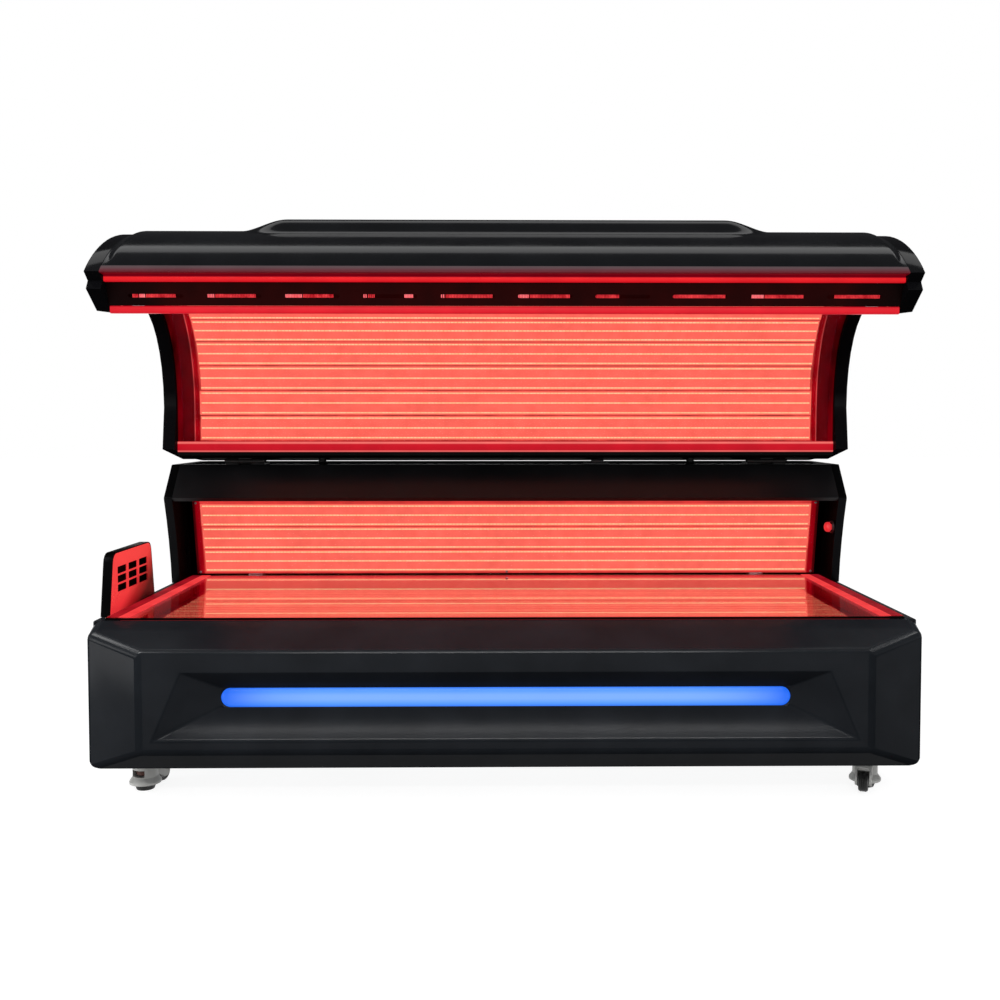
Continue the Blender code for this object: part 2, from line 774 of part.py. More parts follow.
def rear_cover():
    """Back of the base and upright in one sheet, with cooling louvres and the inlet's opening."""
    wide = LENGTH / 2
    narrow = between_end_walls()
    step = RIM_TOP - CLEAR
    outline = [(-wide, BASE_BOTTOM), (wide, BASE_BOTTOM), (wide, step), (narrow, step),
               (narrow, HOOD_TOP), (-narrow, HOOD_TOP), (-narrow, step), (-wide, step)]
    holes = []
    half = LOUVRE_LENGTH / 2
    for group in (-LOUVRE_GROUP, 0.0, LOUVRE_GROUP):
        for row in range(LOUVRE_ROWS):
            low = LOUVRE_LOW + row * LOUVRE_PITCH
            holes.append(rectangle(group - half, low, group + half, low + LOUVRE_HEIGHT,
                                   0.45 * LOUVRE_HEIGHT, 2))
    wide_inlet = INLET_SIZE[0] / 2 + CLEAR
    tall_inlet = INLET_SIZE[2] / 2 + CLEAR
    holes.append(rectangle(INLET_X - wide_inlet, INLET_Z - tall_inlet,
                           INLET_X + wide_inlet, INLET_Z + tall_inlet))
    return plate("rear_cover", [outline, *holes], COVER_WALL, face_on(back(DEPTH - COVER_WALL / 2)),
                 satin_charcoal())


def power_inlet():
    """Mains inlet body in the rear cover, with its pin recess."""
    half = Vector((INLET_SIZE[0] / 2, 0, INLET_SIZE[2] / 2))
    wall = Vector((INLET_WALL, 0, INLET_WALL))
    front = Vector((INLET_X, back(DEPTH - INLET_SIZE[1]), INLET_Z))
    recess = Vector((INLET_X, back(DEPTH - INLET_RECESS), INLET_Z))
    rear = Vector((INLET_X, back(DEPTH), INLET_Z))
    outside = Vector((INLET_X, back(DEPTH + INLET_RECESS), INLET_Z))
    body = block("power_inlet", front - half, rear + half, black_rubber())
    hollow = block("inlet_recess", recess - half + wall, outside + half - wall, steel())
    return cut(body, hollow)


def upright(side, name):
    """Square tube from the floor pan to the lid of the rear upright."""
    x = side * UPRIGHT_X
    front = back(leaning(REAR_LIGHT_BACK, RIM_TOP + LIGHT_PLATE).x + CLEAR)
    half = UPRIGHT_SIZE / 2
    low = pan_top() + CLEAR
    high = HOOD_TOP - HOOD_SHEET - CLEAR
    outer = rectangle(x - half, front, x + half, front + UPRIGHT_SIZE, 2 * SHEET)
    inner = half - SHEET
    bore = rectangle(x - inner, front + SHEET, x + inner, front + UPRIGHT_SIZE - SHEET, SHEET)
    return plate(name, [outer, bore], high - low, laid_flat((low + high) / 2), steel())


def bed_tray():
    """Shallow folded tray under the acrylic that holds the bed's light panel."""
    half = TRAY_HALF_WIDTH
    front = FASCIA_DEPTH + TRAY_MARGIN
    rear = REAR_ACRYLIC_FRONT + TRAY_MARGIN
    bm = bmesh.new()
    bmesh.ops.create_cube(bm, size=1.0)
    bmesh.ops.scale(bm, vec=(2 * half, rear - front, RIM_TOP - TRAY_BOTTOM), verts=bm.verts)
    top = [face for face in bm.faces if face.normal.z > 0.5]
    bmesh.ops.delete(bm, geom=top, context="FACES_ONLY")
    place = Matrix.Translation((0, back((front + rear) / 2), (RIM_TOP + TRAY_BOTTOM) / 2))
    obj = from_bmesh("bed_tray", bm, steel(), place)
    shell = obj.modifiers.new("sheet", "SOLIDIFY")
    shell.thickness = SHEET
    shell.offset = -1.0
    shell.use_even_offset = True
    return obj


def bed_led_panel():
    """Carrier plate in the tray with a row of light boards along the bed."""
    top = TRAY_BOTTOM + SHEET + CLEAR + LIGHT_PLATE
    front = Vector((FASCIA_DEPTH + TRAY_MARGIN + LIGHT_MARGIN, top))
    rear = Vector((REAR_ACRYLIC_FRONT - LIGHT_MARGIN, top))
    outline = light_panel_outline([rear, front], BED_BOARDS)
    half = TRAY_HALF_WIDTH - LIGHT_MARGIN
    return side_plate("bed_led_panel", outline, -half, half, light_board())


def bed_acrylic():
    """Clear sheet that the user lies on."""
    rear = leaning(REAR_ACRYLIC_FRONT, RIM_TOP + BED_SHEET + CLEAR).x - CLEAR
    outline = rectangle(-BED_HALF_WIDTH, back(BED_FRONT), BED_HALF_WIDTH, back(rear), BED_SHEET)
    middle = RIM_TOP + CLEAR + BED_SHEET / 2
    return plate("bed_acrylic", [outline], BED_SHEET, laid_flat(middle), clear_acrylic())


def leaning(depth, z):
    """Point of the rear panel that stands at a depth on the rim and leans over the bed."""
    return Vector((depth - REAR_LEAN * (z - RIM_TOP), z))


def rear_led_panel():
    """Carrier plate with three light boards that stands against the uprights and leans forward."""
    face = REAR_LIGHT_BACK - LIGHT_PLATE
    top = leaning(face, HOOD_UNDERSIDE - LIGHT_PLATE)
    foot = leaning(face, RIM_TOP + LIGHT_PLATE)
    outline = light_panel_outline([top, foot], REAR_BOARDS)
    half = TRAY_HALF_WIDTH
    return side_plate("rear_led_panel", outline, -half, half, light_board())


def rear_acrylic():
    """Clear sheet in front of the rear boards, standing on the tray's rear wall."""
    half = between_end_walls() - CLEAR
    low = RIM_TOP + CLEAR
    high = HOOD_UNDERSIDE - CLEAR
    front = REAR_ACRYLIC_FRONT
    rear = front + REAR_ACRYLIC
    outline = [leaning(front, low), leaning(rear, low), leaning(rear, high), leaning(front, high)]
    return side_plate("rear_acrylic", outline, -half, half, clear_acrylic())


def facing_left(depth, z, x):
    """Local Z along -X from a point on the right end wall."""
    turn = Matrix.Rotation(radians(-90), 4, "Y")
    return Matrix.Translation((x, back(depth), z)) @ turn


def stop_collar():
    """Ring round the stop button."""
    wall = LENGTH / 2 - END_WALL - CLEAR
    bore = BUTTON_RADIUS + BUTTON_PLAY
    slope = COLLAR_HEIGHT / 3
    profile = [(bore, COLLAR_HEIGHT), (COLLAR_RADIUS - slope, COLLAR_HEIGHT),
               (COLLAR_RADIUS, COLLAR_HEIGHT - slope), (COLLAR_RADIUS, 0.0), (bore, 0.0),
               (bore, COLLAR_HEIGHT)]
    return turned("stop_collar", profile, facing_left(BUTTON_DEPTH, BUTTON_Z, wall), red_acrylic())


def stop_button():
    """Domed push button that slides into the end wall."""
    wall = LENGTH / 2 - END_WALL - CLEAR
    joint = joint_empty("stop_button_axis", (wall, back(BUTTON_DEPTH), BUTTON_Z))
    dome = BUTTON_RISE / 3
    profile = [(0.0, BUTTON_RISE), (BUTTON_RADIUS * 0.55, BUTTON_RISE - dome * 0.12),
               (BUTTON_RADIUS * 0.9, BUTTON_RISE - dome * 0.5), (BUTTON_RADIUS, BUTTON_RISE - dome),
               (BUTTON_RADIUS, -BUTTON_TAIL), (0.0, -BUTTON_TAIL)]
    obj = turned("stop_button", profile, facing_left(BUTTON_DEPTH, BUTTON_Z, wall), red_acrylic())
    hang(joint, obj)
    return obj


def outlet_outline(inset=0.0):
    low = RIM_TOP + CLEAR + inset
    high = OUTLET_TOP - inset
    front = OUTLET_FRONT + inset
    rear = OUTLET_BACK - inset
    top = OUTLET_ROUND - inset
    return fillet([(front, low, 0), (rear, low, 0), (rear - OUTLET_LEAN, high, top),
                   (front + OUTLET_LEAN, high, top)])


def air_outlet_box():
    """Slim air outlet at the head end: a shell open towards the bed."""
    left = -LENGTH / 2
    right = left + OUTLET_THICKNESS
    obj = side_plate("air_outlet_box", outlet_outline(), left, right, satin_charcoal())
    round_outer(obj, -1, OUTLET_WALL)
    hollow = side_plate("outlet_hollow", outlet_outline(OUTLET_WALL), left + OUTLET_WALL,
                        right + OUTLET_WALL, steel())
    return cut(obj, hollow)


def air_outlet_grille():
    """Inner face of the outlet with its rows of vents."""
    right = OUTLET_THICKNESS - LENGTH / 2
    middle, height = VENT_MIDDLE
    vents = []
    for row in range(VENT_ROWS):
        for column in range(VENT_COLUMNS):
            d = middle + (column - (VENT_COLUMNS - 1) / 2) * VENT_PITCH[0]
            z = height + (row - (VENT_ROWS - 1) / 2) * VENT_PITCH[1]
            vents.append(rectangle(d - VENT_SIZE[0] / 2, z - VENT_SIZE[1] / 2,
                                   d + VENT_SIZE[0] / 2, z + VENT_SIZE[1] / 2, GRILLE, 2))
    edge = outlet_outline(OUTLET_WALL + CLEAR)
    return side_plate("air_outlet_grille", edge, right - GRILLE, right, red_acrylic(), vents)


def blower_housing():
    """Scroll housing on the left side cover that blows up into the outlet."""
    left = COVER_WALL + CLEAR - LENGTH / 2
    right = left + BLOWER_WIDTH
    depth, height = BLOWER_AT
    bore_radius = BLOWER_RADIUS + BLOWER_PLAY
    outer = bore_radius + BLOWER_RIM
    body = side_plate("blower_housing", circle(depth, height, outer, 32), left, right, black_rubber())
    duct_outline = rectangle(depth, height, depth + outer * 0.98, RIM_TOP - COVER_WALL - CLEAR)
    duct = side_plate("blower_duct", duct_outline, left, right, steel())
    bore = side_plate("blower_bore", circle(depth, height, bore_radius, 32), left + BLOWER_WALL,
                      right + BLOWER_WALL, steel())
    join(body, duct)
    return cut(body, bore)


def blower_wheel():
    """Bladed wheel of the blower on its motor hub."""
    left = COVER_WALL + CLEAR + BLOWER_WALL + CLEAR - LENGTH / 2
    right = left + BLOWER_WIDTH - 2 * BLOWER_WALL
    joint = joint_empty("blower_wheel_axis", (left, back(BLOWER_AT[0]), BLOWER_AT[1]))
    pitch = 2 * pi / BLOWER_BLADES
    hub = BLOWER_HUB * BLOWER_RADIUS
    outline = []
    for i in range(BLOWER_BLADES):
        for part, reach in ((0.0, hub), (0.10, BLOWER_RADIUS), (0.42, BLOWER_RADIUS), (0.50, hub)):
            angle = (i + part) * pitch
            outline.append((BLOWER_AT[0] + reach * cos(angle), BLOWER_AT[1] + reach * sin(angle)))
    obj = side_plate("blower_wheel", outline, left, right, black_rubber())
    hang(joint, obj)
    return obj


def power_supply(side, name):
    """Sealed power supply on the floor pan."""
    low = Vector((side * SUPPLY_X - SUPPLY_SIZE[0] / 2, back(SUPPLY_DEPTH), pan_top() + CLEAR))
    return block(name, low, low + Vector(SUPPLY_SIZE), steel(), SHEET)


def control_box():
    """Controller housing on the floor pan near the foot end."""
    low = Vector((CONTROL_X - CONTROL_SIZE[0] / 2, back(CONTROL_DEPTH), pan_top() + CLEAR))
    return block("control_box", low, low + Vector(CONTROL_SIZE), satin_charcoal(), SHEET)


def knuckle(name, x0, x1, radius):
    at = (back(HINGE[0]), HINGE[1])
    return tube(name, (x0, *at), (x1, *at), radius, steel(), 20)


def hinge_base(side, name):
    """Hinge leaf on the lid of the upright with two knuckles and the pin."""
    middle = side * UPRIGHT_X
    half = HINGE_WIDTH / 2
    bay = HINGE_WIDTH / 6 + KNUCKLE_GAP
    low = HOOD_TOP + CLEAR
    leaf = block(name, (middle - half, back(HINGE[0] - KNUCKLE_RADIUS / 2), low),
                 (middle + half, back(HINGE[0] + HINGE_LEAF_DEPTH), low + HINGE_LEAF), steel())
    left = knuckle(name + "_left", middle - half + CLEAR, middle - bay, KNUCKLE_RADIUS)
    right = knuckle(name + "_right", middle + bay, middle + half - CLEAR, KNUCKLE_RADIUS)
    pin = knuckle(name + "_pin", middle - half - PIN_RADIUS, middle + half + PIN_RADIUS, PIN_RADIUS)
    room = block(name + "_room", (middle - bay, back(HINGE[0] - 2 * KNUCKLE_RADIUS), low - HINGE_LEAF),
                 (middle + bay, back(HINGE[0] + 1.5 * KNUCKLE_RADIUS), HINGE[1]), steel())
    cut(leaf, room)
    return join(leaf, left, right, pin)


def hinge_leaf(side, name):
    """Canopy's hinge leaf under the beam with the middle knuckle."""
    middle = side * UPRIGHT_X
    half = HINGE_WIDTH / 6 - CLEAR
    neck = 0.7 * KNUCKLE_RADIUS
    leaf = block(name, (middle - half, back(HINGE[0] - neck), HINGE[1]),
                 (middle + half, back(HINGE[0] + neck), BEAM_BOTTOM - CLEAR), steel())
    barrel = knuckle(name + "_barrel", middle - half - CLEAR, middle + half + CLEAR, KNUCKLE_RADIUS)
    bore = knuckle(name + "_bore", middle - HINGE_WIDTH, middle + HINGE_WIDTH, PIN_RADIUS + PIN_PLAY)
    join(leaf, barrel)
    return cut(leaf, bore)


def stop_post(side, name):
    """Post on the lid that the canopy's beam rests on when it is fully open."""
    low = HOOD_TOP + CLEAR
    high = BEAM_HEEL - CLEAR
    flare = (high - low) / 6
    place = Matrix.Translation((side * POST_X, back(POST_DEPTH), 0))
    profile = [(0, high), (POST_RADIUS - flare / 2, high), (POST_RADIUS, high - flare / 2),
               (POST_RADIUS, low + flare), (POST_RADIUS + flare, low), (0, low)]
    return turned(name, profile, place, black_rubber(), 20)


def cable_gland():
    """Gland on the hinge line that passes the canopy's cable, on its foot plate."""
    low = Vector((GLAND_X - GLAND_FOOT[0] / 2, back(HINGE[0] - GLAND_RADIUS / 2), HOOD_TOP + CLEAR))
    foot = block("cable_gland", low, low + Vector(GLAND_FOOT), black_rubber())
    half = GLAND_LENGTH / 2
    barrel = knuckle("gland_barrel", GLAND_X - half, GLAND_X + half, GLAND_RADIUS)
    return join(foot, barrel)


def canopy_half():
    return LENGTH / 2 - CAP_THICKNESS - CLEAR


def blend(value, start, end):
    """Smooth step from 0 at start to 1 at end."""
    t = min(max((value - start) / (end - start), 0.0), 1.0)
    return t * t * (3 - 2 * t)


def canopy_shell():
    """Outer skin: the side profile with a raised panel and a long bulge along the crest."""
    path = canopy_outline()
    normal = [(b - a).normalized() for a, b in zip(path, offset(path, 0.010))]
    half = canopy_half()
    stations = [0.0, BULGE_HALF]
    stations += [BULGE_HALF + BULGE_RAMP * i / 4 for i in range(1, 5)]
    stations += [END_STEP_AT + END_STEP_RAMP * i / 3 for i in range(4)]
    stations.append(half)
    crosswise = [-x for x in reversed(stations)] + stations[1:]
    bm = bmesh.new()
    rows = []
    for x in crosswise:
        raised = 1.0 - blend(abs(x), END_STEP_AT, END_STEP_AT + END_STEP_RAMP)
        bulge = 1.0 - blend(abs(x), BULGE_HALF, BULGE_HALF + BULGE_RAMP)
        row = []
        for i, point in enumerate(path):
            lip = blend(point.x, *STEP_START)
            foot = 1.0 - blend(i, len(path) - 4, len(path) - 1)
            crest = blend(point.x, *BULGE_START) * (1.0 - blend(point.x, *BULGE_END))
            lift = END_STEP * raised * lip * foot + BULGE * bulge * crest
            spot = point + normal[i] * lift
            row.append(bm.verts.new((x, back(spot.x), spot.y)))
        rows.append(row)
    for one, two in zip(rows, rows[1:]):
        for i in range(len(path) - 1):
            bm.faces.new((one[i], one[i + 1], two[i + 1], two[i]))
    bmesh.ops.recalc_face_normals(bm, faces=bm.faces)
    obj = from_bmesh("canopy_shell", bm, gloss_black())
    shell = obj.modifiers.new("wall", "SOLIDIFY")
    shell.thickness = CANOPY_WALL
    shell.offset = -1.0
    return obj


def cap_outline():
    """Closed side profile of an end cap, nose, lip notch and inner rim included."""
    lip = [Vector(LIP_FOOT), Vector(LIP_EDGE), Vector(LIP_NOTCH)]
    rim = list(reversed(canopy_rim()))
    return canopy_outline() + rim + lip


def canopy_cap(side, name):
    """Moulded end cap of the canopy with a rounded outer edge."""
    inner = side * (LENGTH / 2 - CAP_THICKNESS)
    obj = side_plate(name, cap_outline(), inner, side * LENGTH / 2, gloss_black())
    round_outer(obj, side, CAP_ROUND)
    return obj


def canopy_beam():
    """Hollow beam along the canopy's foot that the hinges, panels and caps are fixed to."""
    toe = rail_front() - CLEAR
    step = BEAM_HEEL - BEAM_BOTTOM
    outline = [(toe, BEAM_TOE_TOP), (toe, BEAM_HEEL), (BEAM_FRONT, BEAM_BOTTOM),
               (HINGE[0] + 2 * step, BEAM_BOTTOM), (HINGE[0] + 3 * step, BEAM_HEEL),
               (BEAM_BACK, BEAM_HEEL), (BEAM_BACK, BEAM_TOP), (BEAM_FRONT, BEAM_TOP),
               (BEAM_FRONT, BEAM_TOE_TOP)]
    hollow = rectangle(BEAM_FRONT + BEAM_WALL, BEAM_HEEL + BEAM_WALL, BEAM_BACK - BEAM_WALL,
                       BEAM_TOP - BEAM_WALL)
    half = canopy_half()
    return side_plate("canopy_beam", outline, -half, half, steel(), [hollow])


def inner_sheet(inset):
    """Path of a curved inner panel behind the rim."""
    return offset(bezier(*RIM_CURVE, 13), inset)


def canopy_led_panel():
    """Curved carrier with light boards from the foot of the canopy to its lip."""
    path = inner_sheet(LIGHT_INSET)
    path.append(Vector((path[-1].x, BEAM_TOP + CLEAR)))
    outline = light_panel_outline(path, CANOPY_BOARDS)
    half = TRAY_HALF_WIDTH - LIGHT_MARGIN
    return side_plate("canopy_led_panel", outline, -half, half, light_board())


def canopy_acrylic():
    """Curved clear sheet in front of the canopy's boards, from the lip to the beam's toe."""
    lip = Vector((LOWER_RAIL_DEPTH + RAIL_DEPTH + CANOPY_ACRYLIC / 3,
                  LOWER_RAIL_BOTTOM + LOWER_RAIL_HEIGHT / 2))
    path = [lip] + inner_sheet(ACRYLIC_INSET)
    path.append(Vector((path[-1].x, BEAM_TOE_TOP + CLEAR)))
    outline = path + list(reversed(offset(path, CANOPY_ACRYLIC)))
    half = canopy_half() - CLEAR
    return side_plate("canopy_acrylic", outline, -half, half, clear_acrylic())


def rail_front():
    return RIM_END[0] + ACRYLIC_INSET - REAR_RAIL_DEPTH - 2 * CLEAR


def canopy_rear_rail():
    """Red light bar along the foot of the canopy, standing on the beam's toe."""
    front = rail_front()
    half = canopy_half() - CLEAR
    low = BEAM_TOE_TOP + CLEAR
    outline = rectangle(front, low, front + REAR_RAIL_DEPTH, low + REAR_RAIL_HEIGHT, RAIL_ROUND)
    return side_plate("canopy_rear_rail", outline, -half, half, red_acrylic())


def lip_upper_rail():
    """Red light bar under the canopy's nose."""
    half = canopy_half() - CLEAR
    outline = rectangle(UPPER_RAIL_FRONT, UPPER_RAIL_TOP - RAIL_HEIGHT, UPPER_RAIL_FRONT + RAIL_DEPTH,
                        UPPER_RAIL_TOP, RAIL_ROUND)
    return side_plate("lip_upper_rail", outline, -half, half, red_acrylic())


def lip_lower_rail():
    """Red light bar along the bottom of the lip."""
    half = canopy_half() - CLEAR
    outline = rectangle(LOWER_RAIL_DEPTH, LOWER_RAIL_BOTTOM, LOWER_RAIL_DEPTH + RAIL_DEPTH,
                        LOWER_RAIL_BOTTOM + LOWER_RAIL_HEIGHT, RAIL_ROUND)
    return side_plate("lip_lower_rail", outline, -half, half, red_acrylic())


def lip_vent_panel():
    """Slotted panel leaning between the two light bars, which lets the cooling air out."""
    low = LOWER_RAIL_BOTTOM + LOWER_RAIL_HEIGHT + CLEAR + VENT_PANEL / 4
    high = UPPER_RAIL_TOP - RAIL_HEIGHT - CLEAR - VENT_PANEL / 4
    half = canopy_half() - CLEAR
    rise = (high - low) / 2 / cos(VENT_LEAN)
    slots = []
    for i in range(SLOT_COUNT):
        x = (i - (SLOT_COUNT - 1) / 2) * SLOT_PITCH
        slots.append(rectangle(x - SLOT_LENGTH / 2, -SLOT_DROP - SLOT_HEIGHT / 2,
                               x + SLOT_LENGTH / 2, SLOT_HEIGHT / 2 - SLOT_DROP, SLOT_HEIGHT * 0.45))
    place = Matrix.Translation((0, back(VENT_DEPTH), (low + high) / 2))
    place = place @ Matrix.Rotation(VENT_LEAN, 4, "X") @ face_on(0.0)
    return plate("lip_vent_panel", [rectangle(-half, -rise, half, rise), *slots], VENT_PANEL, place,
                 gloss_black())


def caster_fork(label, spot):
    """Cast housing of the levelling foot with its window, and the wheel's two arms and crown."""
    top = BASE_BOTTOM + COVER_WALL
    axle = WHEEL_RADIUS + WHEEL_LIFT
    gap = WHEEL_WIDTH / 2 + WHEEL_PLAY
    lug = HUB_RADIUS
    profile = [(0, top), (HOUSING_RADIUS, top), (HOUSING_RADIUS, HOUSING_FLARE),
               (FLANGE_RADIUS, HOUSING_LOW + FLANGE_HEIGHT), (FLANGE_RADIUS, HOUSING_LOW),
               (HOUSING_BORE, HOUSING_LOW), (HOUSING_BORE, HOUSING_ROOF), (0, HOUSING_ROOF)]
    fork = turned(label + "_fork", profile, spot, cast_grey(), 28)
    crown_low = axle + WHEEL_RADIUS + WHEEL_PLAY
    crown_high = crown_low + CROWN_HEIGHT
    wall = (HOUSING_RADIUS + HOUSING_BORE) / 2
    corners = [(wall - ARM, crown_high, 0), (WHEEL_TRAIL, crown_high, ARM),
               (WHEEL_TRAIL + lug, axle + lug, lug), (WHEEL_TRAIL + lug, axle - lug, lug),
               (WHEEL_TRAIL - lug, axle - lug, lug), (wall - ARM, HOUSING_FLARE, 0)]
    for sign, side in ((-1, "left"), (1, "right")):
        arm = plate(f"{label}_arm_{side}", [fillet(corners, 3)], ARM,
                    spot @ face_on(sign * (gap + ARM / 2)), steel())
        join(fork, arm)
    crown = block(label + "_crown", (wall, -gap - ARM / 3, crown_low),
                  (WHEEL_TRAIL - ARM, gap + ARM / 3, crown_high - ARM / 8), steel())
    crown.matrix_world = spot @ crown.matrix_world
    join(fork, crown)
    window = block(label + "_window", (-2 * FLANGE_RADIUS, -WINDOW[0] / 2, WINDOW_LOW),
                   (0, WINDOW[0] / 2, WINDOW_LOW + WINDOW[1]), steel())
    window.matrix_world = spot @ window.matrix_world
    thread = SCREW_RADIUS + CLEAR
    screw_end = SCREW_TOP + CLEAR
    hole = turned(label + "_thread", [(0, screw_end), (thread, screw_end), (thread, HOUSING_FLARE),
                                      (0, HOUSING_FLARE)], spot, steel(), 16)
    room = WHEEL_RADIUS + WHEEL_PLAY
    well = turned(label + "_well", [(0, gap), (room, gap), (room, -gap), (0, -gap)],
                  spot @ wheel_axle(), steel(), 28)
    return cut(fork, window, hole, well)


def wheel_axle():
    """Middle of the wheel seen from the swivel axis, local Z along the axle."""
    place = Matrix.Translation((WHEEL_TRAIL, 0, WHEEL_RADIUS + WHEEL_LIFT))
    return place @ Matrix.Rotation(radians(90), 4, "X")


def caster_wheel(label, place):
    """Black wheel with raised hubs and a groove round its tread."""
    half = WHEEL_WIDTH / 2
    face = half - TREAD_GROOVE / 2
    rim = WHEEL_RADIUS
    groove = TREAD_GROOVE
    side = [(HUB_RADIUS - groove / 2, half + groove), (HUB_RADIUS, face), (rim - 3 * groove, face),
            (rim - groove / 2, half - 2 * groove), (rim, 2 * groove), (rim - groove, groove)]
    profile = [(0, half + groove), *side, *[(r, -z) for r, z in reversed(side)], (0, -half - groove)]
    return turned(label + "_wheel", profile, place, black_rubber(), 20)


def caster_foot(label, spot):
    """Levelling foot: screw, thumbwheel and pad in one piece, turning on the swivel axis."""
    thumb_top = THUMB_LOW + THUMB_HEIGHT
    edge = PAD_HEIGHT / 4
    bevel = THUMB_HEIGHT / 6
    profile = [(0, SCREW_TOP), (SCREW_RADIUS, SCREW_TOP), (SCREW_RADIUS, thumb_top),
               (THUMB_RADIUS - bevel, thumb_top), (THUMB_RADIUS, thumb_top - bevel),
               (THUMB_RADIUS, THUMB_LOW + bevel), (THUMB_RADIUS - bevel, THUMB_LOW),
               (SCREW_RADIUS, THUMB_LOW), (SCREW_RADIUS, PAD_HEIGHT + edge),
               (PAD_RADIUS - edge, PAD_HEIGHT), (PAD_RADIUS, PAD_HEIGHT - edge),
               (PAD_RADIUS - edge, 0.0), (0, 0.0)]
    return turned(label + "_foot", profile, spot, black_rubber(), 24)


def caster(label, x, depth, heading):
    """Levelling caster: swivelling fork, trailing wheel and a screw foot on the swivel axis."""
    spot = Matrix.Translation((x, back(depth), 0)) @ Matrix.Rotation(heading, 4, "Z")
    wheel_place = spot @ wheel_axle()
    swivel = joint_empty(label + "_swivel", spot.translation)
    hang(swivel, caster_fork(label, spot), caster_foot(label, spot))
    wheel_empty = joint_empty(label + "_axle", wheel_place.translation)
    hang(wheel_empty, caster_wheel(label, wheel_place))


def build():
    floor_pan()
    bulkhead(-1, "bulkhead_left")
    bulkhead(1, "bulkhead_right")
    upright(-1, "upright_left")
    upright(1, "upright_right")
    front_fascia()
    lamp_lens()
    lamp_channel()
    side_cover(-1, "side_cover_left")
    side_cover(1, "side_cover_right")
    rear_cover()
    power_inlet()
    end_wall(-1, "end_wall_left")
    end_wall(1, "end_wall_right")
    rear_hood()
    rear_top_panel()
    bed_tray()
    bed_led_panel()
    bed_acrylic()
    rear_led_panel()
    rear_acrylic()
    stop_collar()
    stop_button()
    air_outlet_box()
    air_outlet_grille()
    blower_housing()
    blower_wheel()
    power_supply(-1, "power_supply_left")
    power_supply(1, "power_supply_right")
    control_box()
    hinge_base(-1, "hinge_base_left")
    hinge_base(1, "hinge_base_right")
    stop_post(-1, "stop_post_left")
    stop_post(1, "stop_post_right")
    cable_gland()
    caster("caster_front_left", -CASTER_X, CASTER_FRONT, radians(68))
    caster("caster_front_right", CASTER_X, CASTER_FRONT, radians(-112))
    caster("caster_rear_left", -CASTER_X, CASTER_BACK, radians(35))
    caster("caster_rear_right", CASTER_X, CASTER_BACK, radians(20))
    pieces = [canopy_beam(), canopy_shell(), canopy_cap(-1, "canopy_cap_left"),
              canopy_cap(1, "canopy_cap_right"), canopy_led_panel(), canopy_acrylic(),
              canopy_rear_rail(), lip_upper_rail(), lip_lower_rail(), lip_vent_panel(),
              hinge_leaf(-1, "hinge_leaf_left"), hinge_leaf(1, "hinge_leaf_right")]
    hinge_line = joint_empty("canopy_hinge", (0, back(HINGE[0]), HINGE[1]))
    hang(hinge_line, *pieces)


build()
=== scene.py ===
"""Red light therapy bed with its canopy open, seen from the front in a white studio."""
from math import cos, pi, radians, sin

import bmesh
import bpy
from mathutils import Matrix, Vector
from mathutils.geometry import interpolate_bezier


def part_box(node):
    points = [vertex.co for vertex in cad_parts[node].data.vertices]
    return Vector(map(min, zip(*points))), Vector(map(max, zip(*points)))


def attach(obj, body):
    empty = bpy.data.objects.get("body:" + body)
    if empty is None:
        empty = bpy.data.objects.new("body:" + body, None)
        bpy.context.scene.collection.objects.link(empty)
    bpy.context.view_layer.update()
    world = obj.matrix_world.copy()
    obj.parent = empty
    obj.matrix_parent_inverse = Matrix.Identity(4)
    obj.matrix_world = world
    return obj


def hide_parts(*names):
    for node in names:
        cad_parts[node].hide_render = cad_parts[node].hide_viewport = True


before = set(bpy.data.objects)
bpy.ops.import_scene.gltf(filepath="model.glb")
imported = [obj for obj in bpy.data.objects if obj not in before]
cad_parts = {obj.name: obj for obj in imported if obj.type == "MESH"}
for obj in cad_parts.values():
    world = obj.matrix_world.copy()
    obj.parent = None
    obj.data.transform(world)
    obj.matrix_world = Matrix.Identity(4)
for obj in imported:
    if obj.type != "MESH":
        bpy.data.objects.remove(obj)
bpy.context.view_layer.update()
scene = bpy.context.scene
scene.view_settings.view_transform = "Standard"

# Camera: level with the gap under the canopy and looking slightly down. The lens is shifted a little
# sideways and down, because the photograph is cropped off its centre.
lens = bpy.data.cameras.new("camera")
lens.lens = 38.784
lens.sensor_width = 36.0
lens.shift_x = -0.0202
lens.shift_y = -0.0309
camera = bpy.data.objects.new("camera", lens)
camera.location = (0.0010, -3.3062, 1.0113)
camera.rotation_euler = (radians(87.522), 0.0, -0.01235)
scene.collection.objects.link(camera)
scene.camera = camera

# Studio: a white surround and floor. Reflections see it dim overhead, and the floor keeps the bed's
# shadow. Soft lamps hang over the camera, over the back of the canopy and at both ends.


def ramp(tree, source, *stops):
    """Colour ramp fed by a node output; stops are (place, colour)."""
    made = tree.nodes.new("ShaderNodeValToRGB")
    steps = made.color_ramp.elements
    steps[0].position, steps[1].position = stops[0][0], stops[-1][0]
    steps[0].color, steps[1].color = (*stops[0][1], 1.0), (*stops[-1][1], 1.0)
    for place, colour in stops[1:-1]:
        steps.new(place).color = (*colour, 1.0)
    tree.links.new(source, made.inputs["Fac"])
    return made.outputs["Color"]


def between(tree, source, first, last, low=0.0, high=1.0):
    """A reading drawn out, so that first gives low and last gives high."""
    made = tree.nodes.new("ShaderNodeMapRange")
    made.inputs["From Min"].default_value = first
    made.inputs["From Max"].default_value = last
    made.inputs["To Min"].default_value = low
    made.inputs["To Max"].default_value = high
    tree.links.new(source, made.inputs["Value"])
    return made.outputs["Result"]


